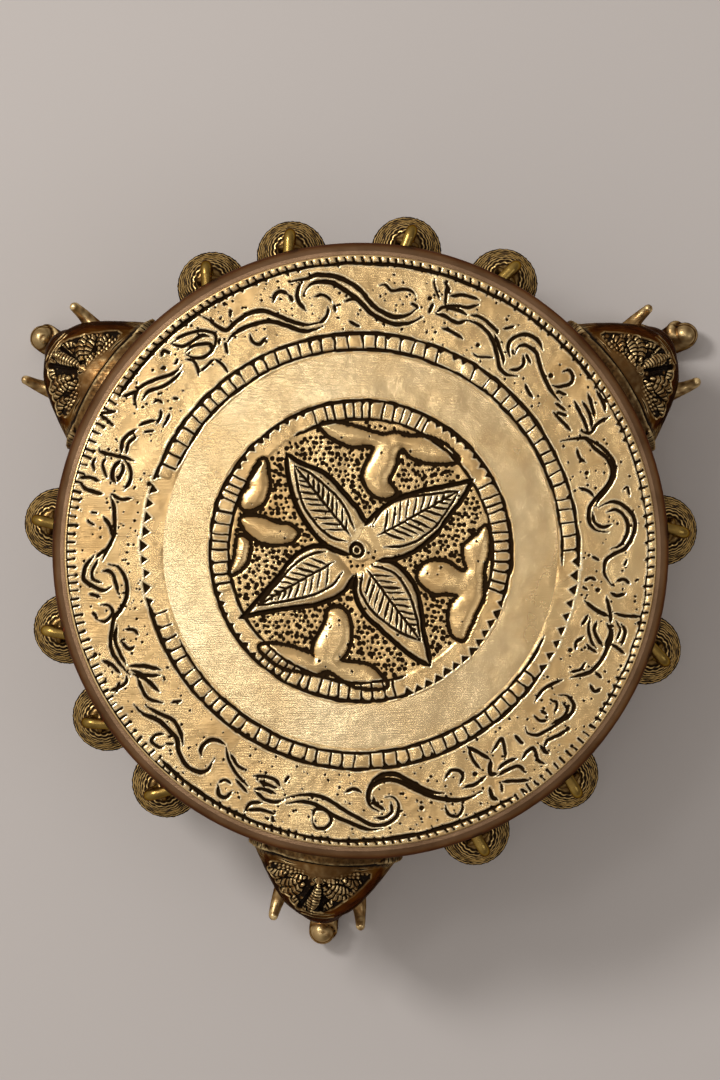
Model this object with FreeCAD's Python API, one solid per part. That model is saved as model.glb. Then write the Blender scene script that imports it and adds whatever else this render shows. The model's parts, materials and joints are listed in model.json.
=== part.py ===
import FreeCAD
import Part
import math
import os
from FreeCAD import Matrix, Placement, Rotation, Vector

# Bajot: a low round brass table for a shrine or a lamp. A carved disc lies in a moulded ring.
# Three cast elephant heads stand under the ring, and their trunks are the feet.
# Twelve open bells hang from bent hooks round the ring, each with a clapper inside.
# The origin is the centre of the top face. +Z is up, and depths are measured down from that face.
# The front leg points to -Y. Lengths are in millimetres and angles in degrees.

# Overall sizes
table_height = 90.0
top_radius = 89.0
overrun = 2.0          # how far a cutting tool reaches past what it cuts
same_place = 0.01      # two depths closer than this are the same when an edge is picked
seat_gap = 0.1         # between the disc's edge and the ring round it

# Carved disc
plate_thickness = 4.0
plate_edge_round = 0.6
carving_depth = 0.7
groove_width = 1.1
edge_groove_inset = 3.1     # in from the disc's edge
outer_ladder_radii = (60.6, 65.4)
inner_ladder_radii = (39.6, 45.2)
field_radius = 38.6
boss_radius = 2.2
petal_length = 37.8
petal_width = 13.5
petal_root_radius = 2.6
petal_angles = (31.0, 126.0, 210.0, 301.0)
trefoil_angles = (76.0, 168.0, 256.0, 347.0)
trefoil_joint_radius = 34.5
lobe_length = 17.5
lobe_width = 7.0
lobe_spread = 84.0     # angle between the lobe that points inward and each side lobe

# Moulded ring under the disc, out from the disc's edge and in from it
ring_top_reach = 1.2
ring_bulge_reach = 4.0
ring_foot_reach = 2.0
ring_inner_inset = 1.6
ledge_inner_inset = 3.6
ring_top_depth = 0.9
ring_bulge_depth = 11.0
ring_height = 22.8
ring_upper_swell = 0.7      # how far the face above the bulge stands out from a cone
ring_lower_swell = 0.2
ring_foot_round = 1.2
ledge_thickness = 3.2
ring_top_radius = top_radius + ring_top_reach
ring_bulge_radius = top_radius + ring_bulge_reach
ring_foot_radius = top_radius + ring_foot_reach
ring_inner_radius = top_radius - ring_inner_inset
ledge_inner_radius = top_radius - ledge_inner_inset

# Legs
leg_azimuths = {"right": 33.3, "left": 146.3, "front": 263.3}
trunk_sways = {"right": 8.0, "left": -3.0, "front": 5.0}
foot_sways = {"right": 0.4, "left": 0.0, "front": 2.1}
foot_reaches = {"right": 14.4, "left": 12.0, "front": 12.5}     # out from the head's front
leg_gap = 0.1          # braze line between a leg and the ring
head_back_inset = 3.5  # in from the disc's edge, where the ring hides it
head_length = 29.5
head_half_width = 23.0
head_top_depth = 14.0
head_bottom_depth = 53.0
cap_thickness = 1.3
cap_back_depth = 32.0
cap_front_depth = 40.5
collar_reach = 3.4     # out from the ring's bulge
collar_rise = 1.0
collar_bottom_depth = 22.4
ridge_inner_inset = 11.2    # in from the head's front
ridge_outer_inset = 1.8
ridge_inner_half_width = 1.1
ridge_outer_half_width = 2.2
ridge_rise = 0.9
lip_root_radius = 5.2
lip_tip_radius = 2.2
head_back_radius = top_radius - head_back_inset
head_front_radius = head_back_radius + head_length
# Each row: shares of the head's length, of its half width, and of its height at the top and at the bottom
head_section_shares = (
    (0.0, 1.0, 0.0, 0.94),
    (0.27, 0.94, 0.02, 1.0),
    (0.56, 0.725, 0.12, 1.0),
    (0.76, 0.55, 0.25, 0.95),
    (0.9, 0.38, 0.4, 0.86),
    (1.0, 0.16, 0.56, 0.72),
)

# Trunk, whose end is the foot
trunk_root_radius = 9.2
trunk_tip_radius = 4.3
trunk_set_back = 4.5   # in from the head's front
foot_flat_depth = 0.5
trunk_radius_shares = (1.0, 0.84, 0.7, 0.6, 0.5)
# Each row: shares of the reach to the foot's end, of the sway, and of the drop from the head to the floor
trunk_path_shares = ((-0.18, 0.0, -0.36), (0.06, 0.5, 0.04), (-0.03, 0.95, 0.42), (0.25, 1.0, 0.74))
foot_bend_share = 0.5
foot_lift_share = 0.55      # how far the foot's end is lifted, to its radius

# Ears, each a flat flap that hangs beside the head
ear_reach = 1.4        # out from the ring's bulge
ear_thickness = 3.0
ear_root_y = 12.0
ear_tip_y = 24.0
ear_top_depth = 19.5
ear_bottom_depth = 53.0
ear_sweep = 8.0
# Shares of the ear's span and fall, with (middle, end) pairs for arcs
ear_start_shares = (0.0, 0.12)
ear_arc_shares = (((0.5, 0.0), (0.82, 0.1)), ((1.0, 0.4), (0.62, 0.82)), ((0.36, 1.0), (0.0, 0.84)))

# Eyes
eye_radius = 2.4
eye_inset = 9.0        # in from the head's front
eye_y = 11.8
eye_depth = 41.5

# Tusks, in one casting with the head
tusk_sheath_radius = 3.6
tusk_root_radius = 3.0
tusk_tip_radius = 1.5
tusk_root_at = (-11.0, 9.6, 45.0)      # distance out from the head's front, distance sideways, depth
tusk_bend_at = (-2.4, 12.8, 49.5)
tusk_tip_at = (3.8, 14.0, 47.2)

# Bells, all alike
bell_mouth_radius = 11.5
bell_waist_radius = 8.9
bell_shoulder_radius = 6.6
bell_crown_radius = 3.4
bell_wall = 1.5
bell_lip = 1.3
# Where the wall bulges between two of the bell's steps: shares of the way out and of the way down
bell_bulge_shares = ((0.56, 0.32), (0.6, 0.5), (0.4, 0.58))
crown_depth = 5.4      # from the hook's bar to the crown
shoulder_depth = 8.2
waist_depth = 15.0
mouth_depth = 22.2
crown_loop_wire = 0.95
crown_loop_inner = 2.0
crown_loop_play = 0.25
staple_wire = 0.8
staple_half_width = 2.6
staple_depth = 10.6    # from the hook's bar to the staple's bar
staple_corner = 1.1

# Clappers
clapper_wire = 0.75
clapper_eye_inner = 1.35
clapper_play = 0.2
clapper_stem_radius = 0.9
clapper_ball_radius = 2.9
clapper_ball_depth = 20.4

# Hooks that the bells hang from
hook_wire_radius = 1.7
hook_rise = 12.2
hook_outer_reach = 3.4
hook_corner = 2.6
hook_root_reach = 9.0
hook_bar_depth = 20.8
bell_reach = 2.6       # from the ring's bulge out to the middle of a bell
bell_circle_radius = ring_bulge_radius + bell_reach

# Where each bell hangs, and how far its hook is turned off the radius
bell_azimuths = (3.8, 62.0, 81.3, 103.1, 119.3, 174.8, 195.0, 213.2, 230.2, 292.2, 312.2, 340.9)
hook_skews = (-19.0, -18.0, -13.0, -17.0, -26.0, -8.0, -24.0, -36.0, -34.0, 8.0, -10.0, -27.0)


def down(x, y, depth):
    """A point at a depth below the top face."""
    return Vector(x, y, -depth)


def bent_outline(start, *steps):
    """A closed wire from start through steps: a point for a straight side, (middle, end) for an arc."""
    edges = []
    here = start
    for step in steps:
        if isinstance(step, tuple):
            edges.append(Part.Arc(here, step[0], step[1]).toShape())
            here = step[1]
        else:
            edges.append(Part.LineSegment(here, step).toShape())
            here = step
    if here.sub(start).Length > 0:
        edges.append(Part.LineSegment(here, start).toShape())
    return Part.Wire(edges)


def turned(wire, angle=360.0):
    """The solid that a wire in the XZ plane sweeps about the table's axis."""
    return Part.Face(wire).revolve(Vector(0, 0, 0), Vector(0, 0, 1), angle)


def disc(radius, top_depth, thickness):
    return Part.makeCylinder(radius, thickness, down(0, 0, top_depth + thickness))


def oval(centre, half_width, half_height):
    """An upright oval wire, across the outward direction."""
    circle = Part.Wire(Part.Circle(Vector(0, 0, 0), Vector(1, 0, 0), 1).toShape())
    stretch = Matrix()
    stretch.scale(Vector(1, half_width, half_height))
    wire = circle.transformGeometry(stretch)
    wire.translate(centre)
    return wire


def tube(points, radii, sections=9):
    """A round bar whose radius runs through radii along a smooth curve through points."""
    curve = Part.BSplineCurve()
    curve.interpolate(points)
    first, last = curve.FirstParameter, curve.LastParameter
    wires = []
    for i in range(sections):
        share = i / (sections - 1)
        t = first + (last - first) * share
        along = curve.tangent(t)[0]
        spot = share * (len(radii) - 1)
        low = min(int(spot), len(radii) - 2)
        radius = radii[low] + (radii[low + 1] - radii[low]) * (spot - low)
        side = along.cross(Vector(0, 1, 0))
        circle = Part.Wire(Part.Circle(Vector(0, 0, 0), Vector(0, 0, 1), radius).toShape())
        circle.Placement = Placement(curve.value(t), Rotation(side, Vector(0, 1, 0), along, "ZXY"))
        wires.append(circle)
    return Part.makeLoft(wires, True, False)


def wire_bar(points, corner, wire_radius):
    """A round wire along straight runs joined by arcs of one radius."""
    edges = []
    here = points[0]
    for before, at, after in zip(points, points[1:], points[2:]):
        into = at.sub(before).normalize()
        out = after.sub(at).normalize()
        turn = into.getAngle(out)
        trim = corner * math.tan(turn / 2)
        start = at.sub(Vector(into).multiply(trim))
        end = at.add(Vector(out).multiply(trim))
        inward = out.sub(into).normalize()
        centre = at.add(Vector(inward).multiply(corner / math.cos(turn / 2)))
        middle = centre.sub(Vector(inward).multiply(corner))
        if start.sub(here).Length > corner / 1000:
            edges.append(Part.LineSegment(here, start).toShape())
        edges.append(Part.Arc(start, middle, end).toShape())
        here = end
    edges.append(Part.LineSegment(here, points[-1]).toShape())
    path = Part.Wire(edges)
    along = points[1].sub(points[0])
    section = Part.Wire(Part.Circle(points[0], along, wire_radius).toShape())
    return path.makePipeShell([section], True, True)


def ring_outer_steps(grow=0.0):
    """The ring's outer face from its top edge down to its foot, grown outward."""
    upper_radius = (ring_top_radius + ring_bulge_radius) / 2 + ring_upper_swell
    lower_radius = (ring_bulge_radius + ring_foot_radius) / 2 + ring_lower_swell
    bulge_top = down(upper_radius + grow, 0, ring_bulge_depth / 3)
    widest = down(ring_bulge_radius + grow, 0, ring_bulge_depth)
    lower = down(lower_radius + grow, 0, (ring_bulge_depth + ring_height) / 2)
    foot = down(ring_foot_radius + grow, 0, ring_height)
    return (bulge_top, widest), (lower, foot)


def level_edges(solid, depth):
    """The edges that lie wholly at one depth."""
    return [edge for edge in solid.Edges
            if abs(edge.BoundBox.ZMin + depth) < same_place and abs(edge.BoundBox.ZMax + depth) < same_place]


def apron_ring():
    """The moulded ring: a rebate for the disc, a ledge under it and a wall that draws in at the foot."""
    upper, lower = ring_outer_steps()
    wall = bent_outline(
        down(ring_top_radius, 0, ring_top_depth), upper, lower,
        down(ring_inner_radius, 0, ring_height),
        down(ring_inner_radius, 0, plate_thickness + ledge_thickness),
        down(ledge_inner_radius, 0, plate_thickness + ledge_thickness),
        down(ledge_inner_radius, 0, plate_thickness),
        down(top_radius + seat_gap, 0, plate_thickness),
        down(top_radius + seat_gap, 0, ring_top_depth),
    )
    solid = turned(wall)
    return solid.makeFillet(ring_foot_round, level_edges(solid, ring_height))


def ring_space():
    """All that the ring and what it encloses take up, plus the braze line, to shape what seats against it."""
    upper, lower = ring_outer_steps(leg_gap)
    space = bent_outline(
        down(0, 0, -overrun),
        down(ring_top_radius + leg_gap, 0, -overrun),
        down(ring_top_radius + leg_gap, 0, ring_top_depth),
        upper, lower,
        down(0, 0, ring_height),
    )
    return turned(space)


def groove(radius):
    """A ring-shaped V cut, groove_width wide at the top face."""
    half_width = groove_width / 2 * (carving_depth + overrun) / carving_depth
    cut = bent_outline(
        down(radius - half_width, 0, -overrun),
        down(radius + half_width, 0, -overrun),
        down(radius, 0, carving_depth),
    )
    return turned(cut)


def leaf(length, width, bulk_share=0.5):
    """A pointed leaf outline along +X from the origin, widest at bulk_share of its length, as a face."""
    tip = Vector(length, 0, 0)
    edge = Vector(length * bulk_share, width / 2, 0)
    other = Vector(length * bulk_share, -width / 2, 0)
    return Part.Face(bent_outline(Vector(0, 0, 0), (edge, tip), (other, Vector(0, 0, 0))))


def placed(shape, x, y, z, angle):
    copy = shape.copy()
    copy.Placement = Placement(Vector(x, y, z), Rotation(Vector(0, 0, 1), angle))
    return copy


def top_plate():
    """The disc: grooves in pairs, and a sunk field round four leaves and four three-lobed sprigs."""
    plate = disc(top_radius, 0, plate_thickness)
    plate = plate.makeFillet(plate_edge_round, level_edges(plate, 0))
    boss = Part.Circle(Vector(0, 0, 0), Vector(0, 0, 1), boss_radius)
    left_standing = [Part.Face(Part.Wire(boss.toShape()))]
    petal = leaf(petal_length - petal_root_radius, petal_width)
    for angle in petal_angles:
        out = math.radians(angle)
        root = (petal_root_radius * math.cos(out), petal_root_radius * math.sin(out))
        left_standing.append(placed(petal, *root, 0, angle))
    lobe = leaf(lobe_length, lobe_width)
    for angle in trefoil_angles:
        out = math.radians(angle)
        joint = (trefoil_joint_radius * math.cos(out), trefoil_joint_radius * math.sin(out))
        for turn in (-lobe_spread, 0, lobe_spread):
            left_standing.append(placed(lobe, *joint, 0, angle + 180 + turn))
    field = disc(field_radius, -overrun, carving_depth + overrun)
    for face in left_standing:
        face.translate(down(0, 0, carving_depth + overrun))
        field = field.cut(face.extrude(Vector(0, 0, carving_depth + 3 * overrun)))
    plate = plate.cut(field)
    for radius in (top_radius - edge_groove_inset, *outer_ladder_radii, *inner_ladder_radii):
        plate = plate.cut(groove(radius))
    return plate


def head_form(grow=0.0):
    """The head as an egg that lies outward from the ring, grown by a thickness."""
    height = head_bottom_depth - head_top_depth
    wires = []
    for along, wide, top, bottom in head_section_shares:
        upper = head_top_depth + height * top
        lower = head_top_depth + height * bottom
        half_width = head_half_width * wide + grow
        centre = down(head_back_radius + (head_length + grow) * along, 0, (upper + lower) / 2)
        wires.append(oval(centre, half_width, (lower - upper) / 2 + grow))
    return Part.makeLoft(wires, True, False)


def cap():
    """The cloth-like cap over the forehead, which stands proud of the face down to its lower edge."""
    side = head_half_width + 2 * overrun
    above = bent_outline(
        down(head_back_radius - overrun, -side, 0),
        down(head_front_radius + 2 * overrun, -side, 0),
        down(head_front_radius + 2 * overrun, -side, cap_front_depth),
        down(head_back_radius - overrun, -side, cap_back_depth),
    )
    return head_form(cap_thickness).common(Part.Face(above).extrude(Vector(0, 2 * side, 0)))


def ridge():
    """The raised band in the middle of the cap, which widens toward the trunk."""
    inner = head_front_radius - ridge_inner_inset
    outer = head_front_radius - ridge_outer_inset
    outline = bent_outline(
        Vector(inner, -ridge_inner_half_width, 0),
        Vector(outer, -ridge_outer_half_width, 0),
        Vector(outer, ridge_outer_half_width, 0),
        Vector(inner, ridge_inner_half_width, 0),
    )
    band = Part.Face(outline).extrude(down(0, 0, cap_front_depth))
    return head_form(cap_thickness + ridge_rise).common(band)


def lip():
    """The lower lip, a lobe behind the trunk's root."""
    back = head_back_radius + head_length / 2
    reach = trunk_root_radius / 2
    points = [
        down(back - reach, 0, head_bottom_depth - lip_root_radius),
        down(back, 0, head_bottom_depth - lip_root_radius / 2),
        down(back + reach, 0, head_bottom_depth + lip_root_radius),
    ]
    bar = tube(points, (lip_root_radius, (lip_root_radius + lip_tip_radius) / 2, lip_tip_radius), 5)
    return bar.fuse(Part.makeSphere(lip_tip_radius, points[-1]))


def collar():
    """The plain strip of the head beside the ring, one step above the cap."""
    strip = disc(ring_bulge_radius + collar_reach, 0, collar_bottom_depth)
    return head_form(cap_thickness + collar_rise).common(strip)


def trunk(sway, foot_sway, foot_reach):
    """The trunk: down from the face, aside by sway, then forward along the floor to the foot's end."""
    drop = table_height - head_bottom_depth
    root = head_front_radius - trunk_set_back
    reach = trunk_set_back + foot_reach
    radii = [trunk_root_radius * share for share in trunk_radius_shares] + [trunk_tip_radius]
    lowest = table_height + foot_flat_depth - radii[-2]
    points = [down(root + reach * along, sway * aside, head_bottom_depth + drop * below)
              for along, aside, below in trunk_path_shares]
    points.append(down(root + reach * foot_bend_share, (sway + foot_sway) / 2, lowest))
    points.append(down(root + reach, foot_sway, lowest - trunk_tip_radius * foot_lift_share))
    bar = tube(points, radii, 11)
    tip = Part.makeSphere(radii[-1], points[-1])
    return bar.fuse(tip)


def ear(side):
    """A flat ear that hangs at one side of the head, swept back under the ring. side is 1 or -1."""
    span = ear_tip_y - ear_root_y
    fall = ear_bottom_depth - ear_top_depth

    def spot(shares):
        return down(0, ear_root_y + span * shares[0], ear_top_depth + fall * shares[1])

    arcs = [(spot(middle), spot(end)) for middle, end in ear_arc_shares]
    flap = bent_outline(spot(ear_start_shares), *arcs)
    solid = Part.Face(flap).extrude(Vector(ear_thickness, 0, 0))
    solid.rotate(down(0, ear_root_y, 0), Vector(0, 0, 1), ear_sweep)
    solid.translate(Vector(ring_bulge_radius + ear_reach - ear_thickness / 2, 0, 0))
    if side < 0:
        solid = solid.mirror(Vector(0, 0, 0), Vector(0, 1, 0))
    return solid


def tusk(side):
    """One tusk, a tapered bar that comes out of the cheek and turns up."""
    points = [down(head_front_radius + out, aside * side, depth)
              for out, aside, depth in (tusk_root_at, tusk_bend_at, tusk_tip_at)]
    middle_radius = (tusk_root_radius + tusk_tip_radius) / 2
    bar = tube(points, (tusk_sheath_radius, tusk_root_radius, middle_radius, tusk_tip_radius), 7)
    return bar.fuse(Part.makeSphere(tusk_tip_radius, points[-1]))


def leg(sway, foot_sway, foot_reach):
    """One leg in one casting, pointing to +X: head, cap, collar, ears, eyes, tusks, lip and trunk."""
    pieces = [cap(), ridge(), collar(), trunk(sway, foot_sway, foot_reach), lip()]
    for side in (1, -1):
        eye = Part.makeSphere(eye_radius, down(head_front_radius - eye_inset, eye_y * side, eye_depth))
        pieces += [ear(side), eye, tusk(side)]
    solid = head_form().fuse(pieces)
    solid = solid.cut(ring_space())
    reach = head_front_radius * 2
    below_floor = Part.makeBox(reach, reach, reach, down(0, -reach / 2, table_height + reach))
    return solid.cut(below_floor)


def crown_loop():
    """The wire loop on a bell's crown: two legs and a half turn over the hook's bar."""
    arch = crown_loop_inner + crown_loop_wire
    top = hook_wire_radius + crown_loop_play + crown_loop_wire
    spring = top - arch
    foot_depth = crown_depth + bell_wall / 2
    path = Part.Wire([
        Part.LineSegment(down(0, arch, foot_depth), Vector(0, arch, spring)).toShape(),
        Part.Arc(Vector(0, arch, spring), Vector(0, 0, top), Vector(0, -arch, spring)).toShape(),
        Part.LineSegment(Vector(0, -arch, spring), down(0, -arch, foot_depth)).toShape(),
    ])
    section = Part.Wire(Part.Circle(down(0, arch, foot_depth), Vector(0, 0, 1), crown_loop_wire).toShape())
    return path.makePipeShell([section], True, True)


def bell():
    """One bell with its crown loop and staple. The origin is the hook's bar, and the mouth faces down."""
    crown = down(bell_crown_radius, 0, crown_depth)
    shoulder = down(bell_shoulder_radius, 0, shoulder_depth)
    waist = down(bell_waist_radius, 0, waist_depth)
    mouth = down(bell_mouth_radius, 0, mouth_depth)
    steps = zip((crown, shoulder, waist), (shoulder, waist, mouth), bell_bulge_shares)
    upper, middle, lower = [
        Vector(above.x + (below.x - above.x) * out, 0, above.z + (below.z - above.z) * fall)
        for above, below, (out, fall) in steps]
    inward = Vector(-bell_wall, 0, 0)
    inside_crown = crown_depth + bell_wall
    outside = (crown, (upper, shoulder), (middle, waist), (lower, mouth))
    inside = (
        down(bell_mouth_radius - bell_lip, 0, mouth_depth),
        (lower.add(inward), waist.add(inward)),
        (middle.add(inward), shoulder.add(down(-bell_wall, 0, bell_wall / 2))),
        (down(bell_crown_radius, 0, inside_crown + bell_wall / 4), down(0, 0, inside_crown)),
    )
    shell = turned(bent_outline(down(0, 0, crown_depth), *outside, *inside))
    loop = crown_loop()
    root_depth = inside_crown - bell_wall / 2
    staple = wire_bar(
        [down(0, staple_half_width, root_depth), down(0, staple_half_width, staple_depth),
         down(0, -staple_half_width, staple_depth), down(0, -staple_half_width, root_depth)],
        staple_corner, staple_wire)
    return shell.fuse([loop, staple])


def clapper():
    """One clapper: an eye round the staple's bar, a stem and a ball. Its origin is the hook's bar too."""
    ring_radius = clapper_eye_inner + clapper_wire
    eye_top = staple_depth - staple_wire - clapper_play
    eye_centre = eye_top + clapper_eye_inner
    eye = Part.makeTorus(ring_radius, clapper_wire, down(0, 0, eye_centre), Vector(0, 1, 0))
    stem_top = eye_centre + ring_radius
    ball_centre = down(0, 0, clapper_ball_depth)
    stem = Part.makeCylinder(clapper_stem_radius, clapper_ball_depth - stem_top, ball_centre)
    ball = Part.makeSphere(clapper_ball_radius, ball_centre)
    return eye.fuse([stem, ball])


def hook():
    """One hook at a bell's origin: a bar out from the ring, a bend, and a bar back, bent to a long D."""
    bar = wire_bar(
        [Vector(-hook_root_reach, 0, 0), Vector(hook_outer_reach, 0, 0),
         Vector(hook_outer_reach, 0, hook_rise), Vector(-hook_root_reach, 0, hook_rise)],
        hook_corner, hook_wire_radius)
    return bar


def station(shape, azimuth, skew):
    """A copy of a bell, clapper or hook at its place round the table."""
    out = math.radians(azimuth)
    place = (bell_circle_radius * math.cos(out), bell_circle_radius * math.sin(out), -hook_bar_depth)
    return placed(shape, *place, azimuth + skew)


def save(shape, node):
    shape.exportStep(os.path.join("parts", node + ".step"))
    state = "valid" if shape.isValid() else "not valid"
    print(node, state, len(shape.Solids), "solids", round(shape.Volume), "mm3")


os.makedirs("parts", exist_ok=True)
save(top_plate(), "top_plate")
save(apron_ring(), "apron_ring")

for side, azimuth in leg_azimuths.items():
    casting = leg(trunk_sways[side], foot_sways[side], foot_reaches[side])
    casting.rotate(Vector(0, 0, 0), Vector(0, 0, 1), azimuth)
    save(casting, "leg_" + side)

one_bell = bell()
one_clapper = clapper()
one_hook = hook()
space = ring_space()
for number, (azimuth, skew) in enumerate(zip(bell_azimuths, hook_skews), start=1):
    name = "%02d" % number
    save(station(one_hook, azimuth, skew).cut(space), "bell_hook_" + name)
    save(station(one_bell, azimuth, skew), "bell_" + name)
    save(station(one_clapper, azimuth, skew), "clapper_" + name)
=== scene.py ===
import json
import math

import bmesh
import bpy
import numpy as np
from mathutils import Matrix, Vector


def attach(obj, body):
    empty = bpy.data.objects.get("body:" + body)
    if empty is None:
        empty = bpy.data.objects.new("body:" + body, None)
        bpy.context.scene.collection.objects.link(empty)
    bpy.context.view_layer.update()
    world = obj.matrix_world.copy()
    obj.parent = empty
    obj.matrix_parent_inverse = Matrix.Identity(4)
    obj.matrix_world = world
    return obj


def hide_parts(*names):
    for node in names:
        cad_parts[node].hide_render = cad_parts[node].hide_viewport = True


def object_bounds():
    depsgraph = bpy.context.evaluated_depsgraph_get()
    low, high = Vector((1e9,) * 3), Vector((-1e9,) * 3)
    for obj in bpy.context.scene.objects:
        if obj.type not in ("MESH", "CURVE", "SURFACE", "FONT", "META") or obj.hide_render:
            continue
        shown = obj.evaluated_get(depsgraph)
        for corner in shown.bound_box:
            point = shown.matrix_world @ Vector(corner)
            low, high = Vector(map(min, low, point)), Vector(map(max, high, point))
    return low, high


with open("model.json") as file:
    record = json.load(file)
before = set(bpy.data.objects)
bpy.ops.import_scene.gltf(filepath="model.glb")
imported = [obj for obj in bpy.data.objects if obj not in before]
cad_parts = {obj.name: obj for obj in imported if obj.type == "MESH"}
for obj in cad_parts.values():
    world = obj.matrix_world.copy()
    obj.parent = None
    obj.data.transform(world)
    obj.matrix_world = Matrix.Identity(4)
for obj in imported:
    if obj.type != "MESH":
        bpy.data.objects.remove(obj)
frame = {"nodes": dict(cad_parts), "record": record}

# A low brass table seen from straight above: a carved disc, a plain moulded ring, three legs cast as
# elephants' heads and twelve bells on bent hooks. Sizes are in millimetres until a mesh is made.

MM = 0.001
cad_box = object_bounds()

# The photograph's frame, in pixels of the whole picture, and how it lies over the table
PIXEL_MM = 0.3
TABLE_CENTRE_PX = (360.5, 551.0)
SEED = 7

# The disc and what is cut into it: radii, widths, depths and heights
DISC_RADIUS = 89.0
INNER_LADDER = (39.6, 45.2)
OUTER_LADDER = (60.6, 65.4)
EDGE_GROOVE = 86.4
# How far the border's groove runs from that radius, by azimuth
EDGE_DRIFT = ((0, 0.0), (60, 0.15), (115, -0.1), (190, -0.3), (225, 0.3), (250, 0.8), (285, 0.3), (330, 0.3),
              (360, 0.0))
NO_DRIFT = ((0, 0.0),)
FINE_CUT = 0.7
CUT_DEPTH = 0.6
FINE_DEPTH = 0.36
LIP_WIDTH = 0.45
LIP_HEIGHT = 0.13
SOIL_SHARE = 0.42
FIELD_SINK = 0.3
LEAF_DOME = 0.75
BEAD_DOME = 0.26
NOISE_KNOTS = 101
VINE_BOLD = 1.6
VINE_DOT = 0.9

# How cuts waver, how steep they are and where they end
WAVER = 0.12
SHAKE_PITCH = 1.3
DRIFT_PITCH = 4.7
DRIFT_RATIO = 1.3
RING_WAVER = 0.1
GAP_FADE_DEGREES = 2.5
THINNEST_CUT = 0.05
HARDLY_CUT = 0.02
CUT_STEEPNESS = 1.35

# Ladders: rings, bars and punch marks
LADDER_CUTS = (1.15, 1.35)
INNER_STEP = 3.0
OUTER_STEP = 3.9
BAR_INSET = 0.2
BAR_BEAD_INSET = 0.5
PUNCH_INSET = 0.9
LONE_PUNCH_INSET = 0.7
PUNCH_SIZES = (2.4, 2.0, 1.6)

# Border
EDGE_CUTS = (1.25, 0.6, 0.5)
EDGE_LINE_GAP = 1.8
EDGE_STRIDES = (2.2, 3.0)
EDGE_TICK_SLIPS = (0.0, 0.7)
EDGE_TICK_DOTS = (0.5, 0.8)
EDGE_BEAD_GAP = 0.4
EDGE_STROKE = 0.8
EDGE_STROKE_INSET = 0.1
EDGE_BEAD_INSETS = (0.25, 0.15)
EDGE_PUNCH = 1.5
EDGE_PUNCH_INSET = 0.5

# Middle: punched ground, leaves, sprigs and knob
STIPPLE_PITCH = 1.62
STIPPLE_JITTER = 0.5
STIPPLE_RADII = (0.5, 1.0)
STIPPLE_MARGIN = 1.0
LEAF_CUT = 1.9
INNER_LEAF_CUT = 1.0
MIDRIB_CUT = 0.95
LEAF_SHOULDER = 2.7
LEAF_SINK = 0.4
VEIN_CUT = 0.85
VEIN_START = 2.2
VEIN_END = 4.5
VEIN_LEAN = 4.2
VEIN_REACH = 3.5
VEIN_STEPS = (1.9, 2.7)
SHORTEST_VEIN = 0.8
SPRIG_CUT = 1.25
MIDDLE_PITS = 70
MIDDLE_PIT_REACH = (8, 38)
MIDDLE_PIT_RADII = (0.25, 0.4)
KNOB_FIELD = 3.2
KNOB_RADIUS = 1.9
KNOB_CUT = 1.4
KNOB_DOT = 1.1

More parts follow.
